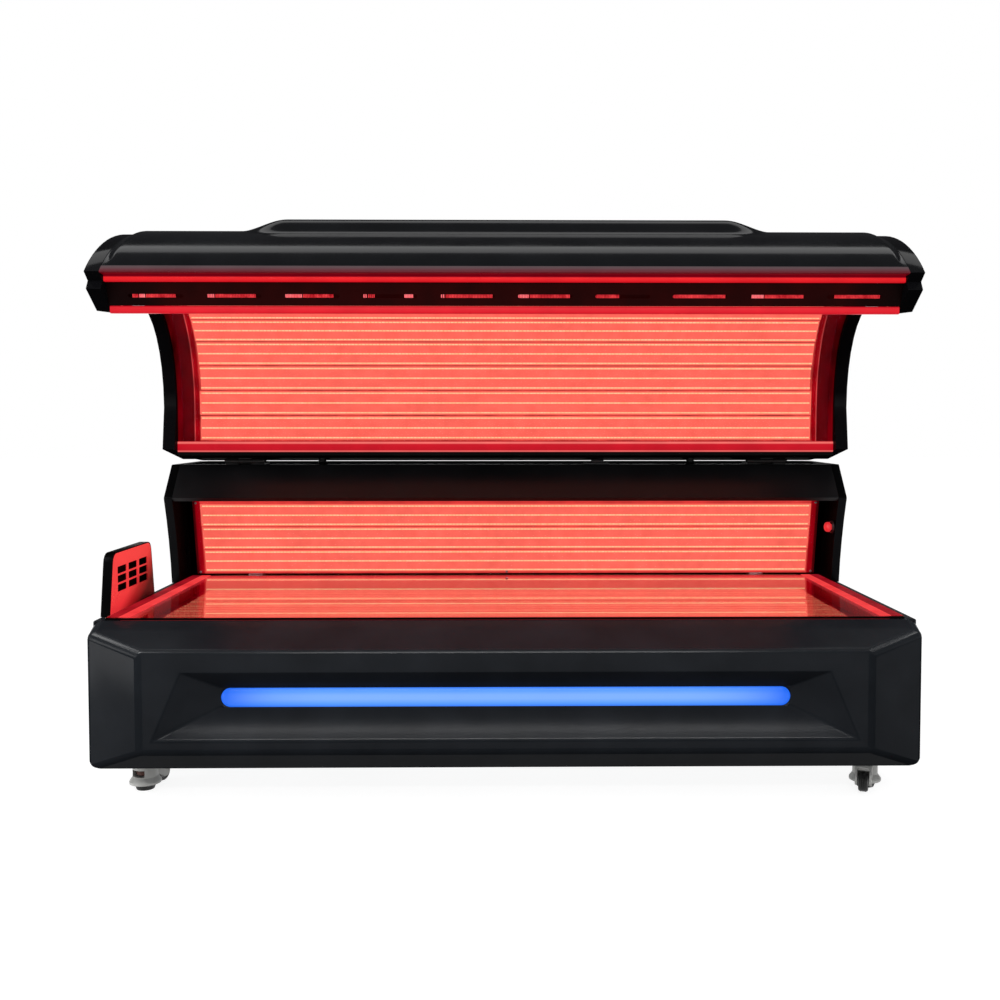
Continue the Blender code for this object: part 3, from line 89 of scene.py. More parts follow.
world = bpy.data.worlds.new("studio")
scene.world = world
world.use_nodes = True
sky = world.node_tree
sky.nodes.clear()
ray = sky.nodes.new("ShaderNodeLightPath")
direction = sky.nodes.new("ShaderNodeTexCoord")
height = sky.nodes.new("ShaderNodeSeparateXYZ")
sky.links.new(direction.outputs["Generated"], height.inputs[0])
dim = (0.03, 0.03, 0.03)
overhead = ramp(sky, height.outputs["Z"], (0.05, (1.0, 1.0, 1.0)), (0.11, dim), (0.50, (0.03, 0.03, 0.032)),
                (0.78, dim), (0.92, (0.12, 0.12, 0.12)))
mirrored = sky.nodes.new("ShaderNodeBackground")
sky.links.new(overhead, mirrored.inputs["Color"])
ambient = sky.nodes.new("ShaderNodeBackground")
ambient.inputs["Strength"].default_value = 0.45
ambient.inputs["Color"].default_value = (1.0, 1.0, 1.0, 1.0)
white = sky.nodes.new("ShaderNodeBackground")
white.inputs["Color"].default_value = (1.0, 1.0, 1.0, 1.0)
lit = sky.nodes.new("ShaderNodeMixShader")
sky.links.new(ray.outputs["Is Diffuse Ray"], lit.inputs["Fac"])
sky.links.new(white.outputs[0], lit.inputs[1])
sky.links.new(ambient.outputs[0], lit.inputs[2])
seen = sky.nodes.new("ShaderNodeMixShader")
sky.links.new(ray.outputs["Is Glossy Ray"], seen.inputs["Fac"])
sky.links.new(lit.outputs[0], seen.inputs[1])
sky.links.new(mirrored.outputs[0], seen.inputs[2])
surround = sky.nodes.new("ShaderNodeOutputWorld")
sky.links.new(seen.outputs[0], surround.inputs["Surface"])

bm = bmesh.new()
bmesh.ops.create_circle(bm, cap_ends=True, segments=64, radius=30.0)
floor_mesh = bpy.data.meshes.new("floor")
bm.to_mesh(floor_mesh)
bm.free()
floor = bpy.data.objects.new("floor", floor_mesh)
floor.location.z = -0.0003
scene.collection.objects.link(floor)
floor_paint = bpy.data.materials.new("floor_paint")
floor_paint.use_nodes = True
tree = floor_paint.node_tree
paint = tree.nodes["Principled BSDF"]
paint.inputs["Base Color"].default_value = (0.30, 0.30, 0.30, 1.0)
paint.inputs["Roughness"].default_value = 0.9
paint.inputs["Specular IOR Level"].default_value = 0.0
paint.inputs["Emission Color"].default_value = (1.0, 1.0, 1.0, 1.0)
floor_ray = tree.nodes.new("ShaderNodeLightPath")
kept_white = between(tree, floor_ray.outputs["Is Diffuse Ray"], 0.0, 1.0, low=0.87, high=0.05)
tree.links.new(kept_white, paint.inputs["Emission Strength"])
floor_mesh.materials.append(floor_paint)


def softbox(name, place, aim, size, power):
    """Rectangular lamp at a place, turned to an aim."""
    lamp = bpy.data.lights.new(name, "AREA")
    lamp.shape = "RECTANGLE"
    lamp.size, lamp.size_y = size
    lamp.energy = power
    box = bpy.data.objects.new(name, lamp)
    box.location = place
    box.rotation_euler = (Vector(aim) - Vector(place)).to_track_quat("-Z", "Y").to_euler()
    scene.collection.objects.link(box)


softbox("softbox_over_camera", (0.0, -3.0, 3.0), (0.0, -0.4, 0.4), (3.6, 1.5), 46.0)
softbox("strip_over_camera", (0.0, -3.3, 1.95), (0.0, -0.55, 0.4), (3.4, 0.10), 26.0)
softbox("softbox_over_canopy", (0.0, 0.39, 2.97), (0.0, -0.4, 1.47), (4.4, 0.60), 9.0)
softbox("softbox_left", (-2.7, -1.3, 2.1), (-1.0, -0.5, 0.45), (1.0, 1.2), 22.0)
softbox("low_card_left", (-2.5, -1.0, 0.30), (-1.02, -0.55, 0.3), (0.7, 0.6), 8.0)
softbox("softbox_right", (2.9, -1.2, 2.2), (1.0, -0.5, 0.5), (0.4, 1.2), 8.0)

# Frame inside the base: floor pan, two holed bulkheads and two square tubes. Zinc-coated steel
# sheet and tube, folded, cut and bolted together.


def noise(tree, scale, detail=2.0):
    """Soft noise that is fixed to the piece."""
    place = tree.nodes.new("ShaderNodeTexCoord")
    made = tree.nodes.new("ShaderNodeTexNoise")
    made.inputs["Scale"].default_value = scale
    made.inputs["Detail"].default_value = detail
    tree.links.new(place.outputs["Object"], made.inputs["Vector"])
    return made.outputs["Fac"]


def finish(name, colour, roughness, metallic=0.0, specular=0.5, spread=0.06, shift=0.2, grain=600.0,
           bump=0.06, grazing=1.0):
    """Coated or moulded surface: cloudy colour, uneven gloss and a fine raised grain."""
    made = bpy.data.materials.new(name)
    made.use_nodes = True
    tree = made.node_tree
    shader = tree.nodes["Principled BSDF"]
    shader.inputs["Metallic"].default_value = metallic
    shader.inputs["Specular IOR Level"].default_value = specular
    shader.inputs["Specular Tint"].default_value = (grazing, grazing, grazing, 1.0)
    cloud = noise(tree, 7.0, detail=6.0)
    gloss = between(tree, cloud, 0.3, 0.7, low=roughness - spread, high=roughness + spread)
    tree.links.new(gloss, shader.inputs["Roughness"])
    raised = tree.nodes.new("ShaderNodeBump")
    raised.inputs["Strength"].default_value = bump
    raised.inputs["Distance"].default_value = 0.0003
    tree.links.new(noise(tree, grain, detail=3.0), raised.inputs["Height"])
    tree.links.new(raised.outputs["Normal"], shader.inputs["Normal"])
    low = [c * (1 - shift) for c in colour]
    high = [min(c * (1 + shift), 1.0) for c in colour]
    tree.links.new(ramp(tree, cloud, (0.3, low), (0.7, high)), shader.inputs["Base Color"])
    return made


def soft_edges():
    """Node group that welds a CAD node and shades its rounded edges smooth."""
    group = bpy.data.node_groups.new("soft_edges", "GeometryNodeTree")
    group.interface.new_socket("Geometry", in_out="INPUT", socket_type="NodeSocketGeometry")
    group.interface.new_socket("Geometry", in_out="OUTPUT", socket_type="NodeSocketGeometry")
    came = group.nodes.new("NodeGroupInput")
    weld = group.nodes.new("GeometryNodeMergeByDistance")
    weld.inputs["Distance"].default_value = 0.00002
    smooth = group.nodes.new("GeometryNodeSetShadeSmooth")
    smooth.domain = "FACE"
    angle = group.nodes.new("GeometryNodeInputMeshEdgeAngle")
    steep = group.nodes.new("FunctionNodeCompare")
    steep.inputs["B"].default_value = radians(34)
    sharp = group.nodes.new("GeometryNodeSetShadeSmooth")
    sharp.domain = "EDGE"
    sharp.inputs["Shade Smooth"].default_value = False
    left = group.nodes.new("NodeGroupOutput")
    links = group.links
    links.new(came.outputs[0], weld.inputs["Geometry"])
    links.new(weld.outputs["Geometry"], smooth.inputs["Geometry"])
    links.new(smooth.outputs["Geometry"], sharp.inputs["Geometry"])
    links.new(angle.outputs["Unsigned Angle"], steep.inputs["A"])
    links.new(steep.outputs["Result"], sharp.inputs["Selection"])
    links.new(sharp.outputs["Geometry"], left.inputs[0])
    return group


edge_group = soft_edges()


def dress(material, *names):
    """Give CAD nodes a finish and smooth shading over their rounded edges."""
    for name in names:
        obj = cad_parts[name]
        obj.data.materials.clear()
        obj.data.materials.append(material)
        obj.modifiers.new("soft edges", "NODES").node_group = edge_group


zinc = finish("zinc_coated_steel", (0.36, 0.37, 0.38), 0.42, metallic=0.7)
dress(zinc, "floor_pan", "bulkhead_left", "bulkhead_right", "upright_left", "upright_right")

# Levelling casters: a grey die-cast housing with a window for the thumbwheel, two wheel arms and a
# rubber pad on a screw. The wheel is a ribbed black tyre moulded over a grey hub.


def back(depth):
    """World Y of a depth measured from the base's front plane."""
    return depth - 0.5785


def add_piece(name, bm, material, body, *nodes, angle=34):
    """New piece from a bmesh, riding on a body in place of the CAD nodes named."""
    mesh = bpy.data.meshes.new(name)
    bmesh.ops.recalc_face_normals(bm, faces=bm.faces)
    bm.to_mesh(mesh)
    bm.free()
    mesh.shade_smooth()
    mesh.set_sharp_from_angle(angle=radians(angle))
    mesh.materials.append(material)
    piece = bpy.data.objects.new(name, mesh)
    scene.collection.objects.link(piece)
    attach(piece, body)
    if nodes:
        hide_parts(*nodes)
    return piece


def bridge(bm, one, two):
    """Band of faces between two closed rings; a ring of one point makes a tip."""
    count = max(len(one), len(two))
    for i in range(count):
        j = (i + 1) % count
        corners = [one[i % len(one)], one[j % len(one)], two[j % len(two)], two[i % len(two)]]
        bm.faces.new(list(dict.fromkeys(corners)))


def lathe(bm, profile, place, steps=48):
    """Turned solid: closed profile of (radius, height) about local Z."""
    turns = [2 * pi * i / steps for i in range(steps)]
    rings = []
    for radius, z in profile:
        if radius == 0.0:
            rings.append([bm.verts.new(place @ Vector((0, 0, z)))])
        else:
            spots = [Vector((radius * cos(turn), radius * sin(turn), z)) for turn in turns]
            rings.append([bm.verts.new(place @ spot) for spot in spots])
    if len(rings[0]) > 1:
        rings.append(rings[0])
    for one, two in zip(rings, rings[1:]):
        bridge(bm, one, two)


def coordinate(tree, axis, both_ways=False):
    """The piece's own coordinate on an axis, or its distance from the middle."""
    place = tree.nodes.new("ShaderNodeTexCoord")
    part = tree.nodes.new("ShaderNodeSeparateXYZ")
    tree.links.new(place.outputs["Object"], part.inputs[0])
    if not both_ways:
        return part.outputs[axis]
    distance = tree.nodes.new("ShaderNodeMath")
    distance.operation = "ABSOLUTE"
    tree.links.new(part.outputs[axis], distance.inputs[0])
    return distance.outputs[0]


die_cast = finish("grey_die_casting", (0.55, 0.55, 0.53), 0.45, metallic=0.1, shift=0.25, grain=350, bump=0.2)
tyre_rubber = finish("tyre_rubber", (0.008, 0.008, 0.008), 0.5, specular=0.35, bump=0.15)
hub_plastic = finish("grey_hub_plastic", (0.30, 0.30, 0.30), 0.45)
foot_finish = finish("rubber_pad_and_thumbwheel", (0.01, 0.01, 0.01), 0.5, specular=0.3)
tree = foot_finish.node_tree
rubber, steel = (0.008, 0.008, 0.008), (0.35, 0.35, 0.36)
foot_height = between(tree, coordinate(tree, "Z"), 0.0, 0.085)
banded = ramp(tree, foot_height, (0.0, rubber), (0.21, rubber), (0.23, steel), (0.46, steel),
              (0.47, (0.10, 0.032, 0.022)), (0.64, (0.06, 0.02, 0.014)), (0.66, steel))
tree.links.new(banded, tree.nodes["Principled BSDF"].inputs["Base Color"])
headings = {"front_left": 68, "front_right": -112, "rear_left": 35, "rear_right": 20}
axle_reach, axle_height = 0.064, 0.0285
half_tyre = [(0.026, 0.001), (0.0245, 0.0018), (0.0245, 0.0030), (0.026, 0.0040), (0.0258, 0.0075),
             (0.0245, 0.0084), (0.0245, 0.0094), (0.0245, 0.0110), (0.0215, 0.0126), (0.0175, 0.0126)]
half_hub = [(0.0173, 0.0118), (0.0150, 0.0105), (0.0105, 0.0105), (0.0095, 0.0140), (0.0050, 0.0148), (0.0, 0.0148)]
for corner, heading in headings.items():
    label = "caster_" + corner
    dress(die_cast, label + "_fork")
    dress(foot_finish, label + "_foot")
    low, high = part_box(label + "_foot")
    post = Matrix.Translation(((low[0] + high[0]) / 2, (low[1] + high[1]) / 2, 0))
    turn = Matrix.Rotation(radians(heading), 4, "Z") @ Matrix.Translation((axle_reach, 0, axle_height))
    axle = post @ turn @ Matrix.Rotation(radians(90), 4, "X")
    bm = bmesh.new()
    lathe(bm, half_tyre + [(r, -z) for r, z in reversed(half_tyre)], axle)
    add_piece(label + "_tyre", bm, tyre_rubber, label + "_wheel", label + "_wheel")
    bm = bmesh.new()
    lathe(bm, [(r, -z) for r, z in reversed(half_hub)] + half_hub, axle)
    add_piece(label + "_hub", bm, hub_plastic, label + "_wheel")

# Front fascia: one vacuum-formed charcoal panel with long chamfers, rounded corners and a tapered
# recess that narrows to a slot for the lamp. It clips over the front edge of the base.
# Each ring below is its half length at the foot and at the top, its foot, its top and its depth.
fascia_rings = [
    (0.7425, 0.7425, 0.2725, 0.3255, 0.045),
    (0.907, 0.832, 0.198, 0.374, 0.0),
    (0.9405, 0.9405, 0.165, 0.428, 0.0),
    (1.099, 1.099, 0.100, 0.4661, 0.080),
    (1.099, 1.099, 0.100, 0.485, 0.120),
    (1.099, 1.099, 0.100, 0.485, 0.130),
]
lamp_half, lamp_height = 0.715, 0.299
slot_radius, slot_depth = 0.0253, 0.045
edge_radius = 0.026
mitre_share, frame_share, recess_foot_share, recess_share = 0.8, 0.42, 0.20, 0.10


def round_ended(bm, depth, radius):
    """Ring of points with two round ends, along the lamp's middle line."""
    ring = []
    for side in (-1, 1):
        for i in range(25):
            swing = radians(side * (-90 + 7.5 * i))
            x = side * (lamp_half + radius * cos(swing))
            ring.append(bm.verts.new((x, back(depth), lamp_height - radius * sin(swing))))
    return ring


def polish_tops(material, weight, roughness, start, below=0.0):
    """Clear coat that comes in as a surface turns upward, where the moulding is polished."""
    tree = material.node_tree
    facing = tree.nodes.new("ShaderNodeNewGeometry")
    upward = tree.nodes.new("ShaderNodeSeparateXYZ")
    tree.links.new(facing.outputs["Normal"], upward.inputs[0])
    polish = between(tree, upward.outputs["Z"], start, start + 0.4, low=below, high=weight)
    shader = tree.nodes["Principled BSDF"]
    tree.links.new(polish, shader.inputs["Coat Weight"])
    shader.inputs["Coat Roughness"].default_value = roughness
    return material


bm = bmesh.new()
loops = []
for wide, narrow, low, high, depth in fascia_rings:
    corners = [(-wide, low), (wide, low), (narrow, high), (-narrow, high)]
    loops.append([bm.verts.new((x, back(depth), z)) for x, z in corners])
slot_ring = round_ended(bm, slot_depth, slot_radius)
slot_edges = [bm.edges.new((a, b)) for a, b in zip(slot_ring, slot_ring[1:] + slot_ring[:1])]
for inner, outer in zip(loops, loops[1:]):
    bridge(bm, outer, inner)
rim = [edge for edge in bm.edges if edge.verts[0] in loops[0] and edge.verts[1] in loops[0]]
bmesh.ops.triangle_fill(bm, edges=rim + slot_edges, use_beauty=True)
weights = bm.edges.layers.float.new("bevel_weight_edge")
for edge in bm.edges:
    ring = {i for i, loop in enumerate(loops) for vert in edge.verts if vert in loop}
    highest = max(vert.co.z for vert in edge.verts)
    top_rear = all(vert in loops[3][2:] for vert in edge.verts)
    if ring in ({3, 4}, {4, 5}):
        edge[weights] = 1.0
    elif ring == {2, 3} and highest > 0.4:
        edge[weights] = mitre_share
    elif ring in ({2}, {3}, {2, 3}) and not top_rear:
        edge[weights] = frame_share
    elif ring in ({0, 1}, {1}):
        edge[weights] = recess_foot_share if highest < 0.28 else recess_share
charcoal = finish("satin_charcoal", (0.0112, 0.0128, 0.0156), 0.35, specular=0.0, spread=0.04, bump=0.02)
polish_tops(charcoal, 0.21, 0.2, -0.1, below=0.06)
fascia = add_piece("fascia_panel", bm, charcoal, "base", "front_fascia")
edge_finish = finish("charcoal_edge", (0.0116, 0.0134, 0.0162), 0.35, specular=0.0, spread=0.04, bump=0.01)
fascia.data.materials.append(polish_tops(edge_finish, 0.9, 0.22, 0.1))
rounded = fascia.modifiers.new("rounded edges", "BEVEL")
rounded.width = edge_radius
rounded.segments = 7
rounded.limit_method = "WEIGHT"
rounded.material = 1
wall = fascia.modifiers.new("wall", "SOLIDIFY")
wall.thickness = 0.005
wall.offset = -1.0
wall.use_even_offset = True

# Front lamp: a domed milky lens with round ends, over a folded channel that holds a strip of blue
# light boards. The light is palest along the middle of the lens.
lens_radius, lens_foot = 0.0248, 0.0497
dome = ((0.0, 0.0), (0.0, 0.004), (0.002, 0.0062), (0.006, 0.0082), (0.012, 0.0094), (0.020, 0.0100))
bm = bmesh.new()
rings = [round_ended(bm, lens_foot - rise, lens_radius - inset) for inset, rise in dome]
for one, two in zip(rings, rings[1:]):
    bridge(bm, one, two)
bm.faces.new(rings[0])
bm.faces.new(rings[-1])
edge_blue, mid_blue, core_blue = (0.035, 0.20, 0.95), (0.085, 0.31, 1.0), (0.20, 0.41, 1.0)
end_blue = (0.004, 0.12, 0.83, 1.0)
lens_light = finish("milky_blue_lens", (0.02, 0.06, 0.20), 0.35, specular=0.3)
tree = lens_light.node_tree
shader = tree.nodes["Principled BSDF"]
across = between(tree, coordinate(tree, "Z"), 0.274, 0.324)
bands = ramp(tree, across, (0.0, edge_blue), (0.2, mid_blue), (0.42, core_blue), (0.62, core_blue),
             (0.85, mid_blue), (1.0, edge_blue))
falling = tree.nodes.new("ShaderNodeMath")
falling.operation = "POWER"
falling.inputs[1].default_value = 4.0
tree.links.new(between(tree, coordinate(tree, "X", both_ways=True), 0.30, 0.725), falling.inputs[0])
mixed = tree.nodes.new("ShaderNodeMix")
mixed.data_type = "RGBA"
tree.links.new(falling.outputs[0], mixed.inputs[0])
tree.links.new(bands, mixed.inputs[6])
mixed.inputs[7].default_value = end_blue
tree.links.new(mixed.outputs[2], shader.inputs["Emission Color"])
shader.inputs["Emission Strength"].default_value = 0.95
add_piece("lamp_lens_dome", bm, lens_light, "base", "lamp_lens")
dress(zinc, "lamp_channel")

# Side and rear covers: powder-coated steel sheets folded round the frame and screwed to it, the rear
# one with rows of pressed louvres. The mains inlet is a moulded socket clipped into the rear cover.
black_plastic = finish("moulded_black_plastic", (0.008, 0.008, 0.009), 0.45, specular=0.3, grain=900, bump=0.12)
powder_coat = finish("black_powder_coat", (0.009, 0.009, 0.010), 0.55, specular=0.25, grain=1500, bump=0.3)
dress(charcoal, "side_cover_left", "side_cover_right")
dress(powder_coat, "rear_cover")
dress(black_plastic, "power_inlet")

# Bed: a folded tray holds a panel of light boards under a clear acrylic lying surface.
# Each board is a red-lit strip with three rows of small square lights, on a bare-backed carrier. The red
# glow of the carrier and of the tray is painted light from the boards.
board_pitch, board_reach, board_top = 0.0815, 0.475, 0.0018
light_rows, light_pitch, light_top = (-0.392, 0.0, 0.392), 0.0115, 0.0029
half_light_high, half_light_long = 0.0021, 0.0051


def glow(name, base, dark, light, strength, scale=25.0, specular=0.02, sampling="AUTO"):
    """Lit surface whose light varies softly between two colours."""
    made = finish(name, base, 0.4, specular=specular)
    tree = made.node_tree
    shader = tree.nodes["Principled BSDF"]
    colour = ramp(tree, noise(tree, scale, detail=3.0), (0.3, dark), (0.7, light))
    tree.links.new(colour, shader.inputs["Emission Color"])
    shader.inputs["Emission Strength"].default_value = strength
    made.cycles.emission_sampling = sampling
    return made


def band_painted_light(material, reading, stops, scale, low, high):
    """Painted light on a finish, banded along a reading, with its strength patchy between two levels."""
    tree = material.node_tree
    shader = tree.nodes["Principled BSDF"]
    tree.links.new(ramp(tree, reading, *stops), shader.inputs["Emission Color"])
    strength = between(tree, noise(tree, scale), 0.3, 0.7, low=low, high=high)
    tree.links.new(strength, shader.inputs["Emission Strength"])
    return material


def painted_light_zones(name, base, dimmest_light, *stops):
    """Surface with painted light, coloured by the distance from the middle of the bed, its strength patchy down to
    a level.
    """
    made = finish(name, base, 0.4, specular=0.02)
    first, last = 0.9, 1.1
    reading = between(made.node_tree, coordinate(made.node_tree, "X", both_ways=True), first, last)
    shares = [((x - first) / (last - first), colour) for x, colour in stops]
    return band_painted_light(made, reading, shares, 14.0, dimmest_light, 1.05)


def painted_light_bar(name, base, low, high, *stops):
    """Piece with painted light, banded by height."""
    made = finish(name, base, 0.3, specular=0.06)
    reading = between(made.node_tree, coordinate(made.node_tree, "Z"), low, high)
    return band_painted_light(made, reading, stops, 12.0, 0.85, 1.0)


def curve_frame(path):
    """Length of a side path, and a function giving a point at a distance along it and a rise above it."""
    lengths = [0.0]
    for one, two in zip(path, path[1:]):
        lengths.append(lengths[-1] + (two - one).length)

    def at(distance, rise):
        i = max(k for k in range(len(path) - 1) if lengths[k] <= distance + 1e-9 or k == 0)
        share = (distance - lengths[i]) / (lengths[i + 1] - lengths[i])
        along = (path[i + 1] - path[i]).normalized()
        return path[i].lerp(path[i + 1], share) + Vector((along.y, -along.x)) * rise

    return lengths[-1], at


def strip(bm, at, start, end, low, high, left, right, steps):
    """Closed slab over part of a side path, between two heights above it and two ends."""
    rows = []
    for i in range(steps + 1):
        distance = start + (end - start) * i / steps
        row = []
        for rise, x in ((low, left), (low, right), (high, right), (high, left)):
            spot = at(distance, rise)
            row.append(bm.verts.new((x, back(spot.x), spot.y)))
        rows.append(row)
    for one, two in zip(rows, rows[1:]):
        bridge(bm, one, two)
    bm.faces.new(rows[0])
    bm.faces.new(rows[-1])


def light_panel(label, path, half, lit_half, boards, margin, glows, body, node):
    """Carrier sheet, its boards up to a margin from the path's end, and the rows of lights on them."""
    total, at = curve_frame(path)
    first = total - margin - board_pitch * boards
    middles = [first + board_pitch * (i + 0.5) for i in range(boards)]
    steps = len(path) - 1
    bm = bmesh.new()
    strip(bm, at, 0.0, total, -0.003, 0.0, -half, half, steps)
    for back_face in list(bm.faces)[:4 * steps:4]:
        back_face.material_index = 1
    add_piece(label + "_carrier", bm, glows[0], body, node).data.materials.append(zinc)
    bm = bmesh.new()
    reach = board_reach * board_pitch
    for i, middle in enumerate(middles):
        end = lit_half - 0.006 * (i * 5 % 4) / 3
        strip(bm, at, middle - reach, middle + reach, 0.0003, board_top, -end, end, 4)
    add_piece(label + "_boards", bm, glows[1], body)
    bm = bmesh.new()
    count = int(2 * (lit_half - 0.004) / light_pitch)
    for spot in [middle + row * board_pitch for middle in middles for row in light_rows]:
        for k in range(count):
            x = (k - (count - 1) / 2) * light_pitch
            strip(bm, at, spot - half_light_high, spot + half_light_high, board_top, light_top,
                  x - half_light_long, x + half_light_long, 1)
    add_piece(label + "_lights", bm, glows[2], body)


def acrylic(name, roughness, ior):
    """Clear polished sheet."""
    made = finish(name, (0.97, 0.97, 0.98), roughness, spread=roughness / 2, shift=0.02, bump=0.002)
    shader = made.node_tree.nodes["Principled BSDF"]
    shader.inputs["Transmission Weight"].default_value = 1.0
    shader.inputs["IOR"].default_value = ior
    return made


# The carrier's red glow is painted light from the boards, a little brighter just beyond their ends.
bed_painted_light_zones = painted_light_zones("bed_carrier_painted_light", (0.05, 0.002, 0.002), 0.6, (0.9, (0.24, 0.0, 0.004)),
                  (0.999, (0.24, 0.0, 0.004)), (1.003, (0.30, 0.0, 0.005)), (1.03, (0.20, 0.0, 0.003)))
bed_board_glow = glow("bed_board", (0.08, 0.002, 0.002), (0.70, 0.030, 0.028), (0.88, 0.055, 0.045), 1.0, scale=9.0)
bed_light_glow = glow("bed_board_lights", (0.10, 0.01, 0.01), (1.0, 0.24, 0.13), (1.0, 0.36, 0.20), 1.0,
                      scale=60.0, sampling="NONE")
bed_lights = [Vector((0.905, 0.4393)), Vector((0.166, 0.4393))]
light_panel("bed_light", bed_lights, 1.024, 1.000, 9, 0.0027, (bed_painted_light_zones, bed_board_glow, bed_light_glow),
            "base", "bed_led_panel")
# The tray's red glow is painted light from the boards: dark low on its walls, brightest in a band high up, dark
# again at its rim.
tray_painted_light = painted_light_bar("tray_painted_red_light", (0.20, 0.005, 0.006), 0.430, 0.485, (0.0, (0.20, 0.0, 0.003)),
                   (0.62, (0.28, 0.0, 0.004)), (0.68, (0.70, 0.03, 0.045)), (0.92, (0.74, 0.04, 0.055)),
                   (1.0, (0.25, 0.0, 0.006)))
dress(tray_painted_light, "bed_tray")
dress(acrylic("lying_surface_acrylic", 0.01, 1.5), "bed_acrylic")

# Edge strips of the lying surface: a black seal along its front edge, and two strips of painted red light
# along each side of the sheet, the inner one bright. The seal is extruded plastic, glued on.
sheet_top, strips_front, strips_rear = 0.4914, 0.142, 0.928
seal_black = finish("seal_rubber", (0.003, 0.003, 0.003), 0.6, specular=0.0)
bm = bmesh.new()
total, at = curve_frame([Vector((0.1325, 0.4853)), Vector((0.1325, 0.4912))])
strip(bm, at, 0.0, total, -0.0018, 0.0, -1.068, 1.068, 1)
add_piece("front_edge_seal", bm, seal_black, "base")
# Painted red light on the side strips: bright on the inner ones, dim on the outer ones.
ledge_painted_lights = {
    "inner": glow("ledge_painted_light", (0.2, 0.01, 0.01), (0.62, 0.026, 0.030), (0.82, 0.060, 0.062), 1.0, scale=12.0),
    "outer": glow("ledge_painted_dim_light", (0.1, 0.004, 0.005), (0.12, 0.000, 0.004), (0.34, 0.006, 0.014), 1.0, scale=12.0),
}
total, at = curve_frame([Vector((strips_rear, sheet_top)), Vector((strips_front, sheet_top))])
for band, (near, far) in {"inner": (1.006, 1.036), "outer": (1.037, 1.067)}.items():
    bm = bmesh.new()
    for side in (-1, 1):
        left, right = sorted((side * near, side * far))
        strip(bm, at, 0.0, total, 0.0, 0.0010, left, right, 4)
    add_piece("side_strips_painted_light_" + band, bm, ledge_painted_lights[band], "base")

# Rear upright: end walls, hood and lid are black moulded covers on the upright tubes. The light panel
# leans forward behind its acrylic sheet, and small screws hold the sheet's corners.
dull_black = finish("dull_black_lid", (0.004, 0.004, 0.0045), 0.7, specular=0.0, spread=0.05, bump=0.1)
hood_black = finish("satin_black_hood", (0.003, 0.003, 0.0035), 0.34, specular=0.20, spread=0.04, bump=0.03)
wall_black = finish("satin_black_wall", (0.005, 0.005, 0.0055), 0.30, metallic=0.8, grazing=0.15,
                    specular=0.02, spread=0.04, bump=0.02)
sheet_acrylic = acrylic("sheet_acrylic", 0.02, 1.06)
dress(dull_black, "rear_top_panel")
dress(hood_black, "rear_hood")
dress(wall_black, "end_wall_left", "end_wall_right")
dress(sheet_acrylic, "rear_acrylic")


def leaning(depth, z):
    """Side point of the rear panel, which leans forward with height."""
    return Vector((depth - 0.220 * (z - 0.485), z))


board_glow = glow("lit_board", (0.10, 0.005, 0.004), (0.94, 0.130, 0.095), (1.0, 0.156, 0.116), 1.0)
light_glow = glow("board_lights", (0.20, 0.03, 0.02), (1.0, 0.50, 0.24), (1.0, 0.64, 0.36), 1.0,
                  scale=60.0, sampling="NONE")
# The carrier's red glow is painted light: bright under the boards, dimming to dark beyond their ends.
rear_painted_light_zones = painted_light_zones("rear_carrier_painted_light", (0.10, 0.004, 0.004), 0.75, (0.9, (0.70, 0.045, 0.04)),
                   (1.029, (0.70, 0.045, 0.04)), (1.032, (0.32, 0.0, 0.005)), (1.046, (0.26, 0.0, 0.004)),
                   (1.050, (0.02, 0.0, 0.001)))
rear_lights = [leaning(0.952, 0.757), leaning(0.952, 0.496)]
light_panel("rear_light", rear_lights, 1.056, 1.030, 3, 0.0045, (rear_painted_light_zones, board_glow, light_glow),
            "base", "rear_led_panel")
screw_steel = finish("screw_steel", (0.30, 0.30, 0.31), 0.3, metallic=0.9)
screw_head = [(0.0, 0.0001), (0.0042, 0.0001), (0.0042, 0.0012), (0.0030, 0.0021), (0.0016, 0.0021),
              (0.0013, 0.0012), (0.0, 0.0012)]
square_to_sheet = Matrix.Rotation(radians(102.4), 4, "X")
bm = bmesh.new()
for x, z in ((-1.040, 0.503), (-1.040, 0.742), (1.040, 0.503), (1.040, 0.742), (0.0, 0.503)):
    spot = leaning(0.935, z)
    lathe(bm, screw_head, Matrix.Translation((x, back(spot.x), z)) @ square_to_sheet, 16)
add_piece("rear_sheet_screws", bm, screw_steel, "base")

# Stop button: a red mushroom head in a dark round collar, screwed through the right end wall. It is
# pressed into the wall and springs back out.
# The head is red plastic, and its glow is painted light.
red_button_painted_light = glow("red_button_painted_glow", (0.5, 0.01, 0.012), (0.50, 0.02, 0.025), (0.60, 0.03, 0.035), 0.8,
                  specular=0.4)
collar_black = finish("collar_plastic", (0.03, 0.005, 0.006), 0.4, specular=0.3)
inward = Matrix.Translation((1.0727, back(0.792), 0.668)) @ Matrix.Rotation(radians(-90), 4, "Y")
collar = [(0.0170, 0.0003), (0.0205, 0.0003), (0.0210, 0.0012), (0.0206, 0.0055), (0.0195, 0.0074),
          (0.0182, 0.0079), (0.0170, 0.0072)]
mushroom = [(0.0, 0.0006), (0.0090, 0.0006), (0.0090, 0.0090), (0.0150, 0.0100), (0.0163, 0.0120),
            (0.0165, 0.0165), (0.0158, 0.0210), (0.0135, 0.0245), (0.0095, 0.0268), (0.0045, 0.0278), (0.0, 0.0280)]
bm = bmesh.new()
lathe(bm, collar, inward, 56)
add_piece("stop_button_collar", bm, collar_black, "base", "stop_collar")
bm = bmesh.new()
lathe(bm, mushroom, inward, 56)
add_piece("stop_button_head", bm, red_button_painted_light, "stop_button", "stop_button")
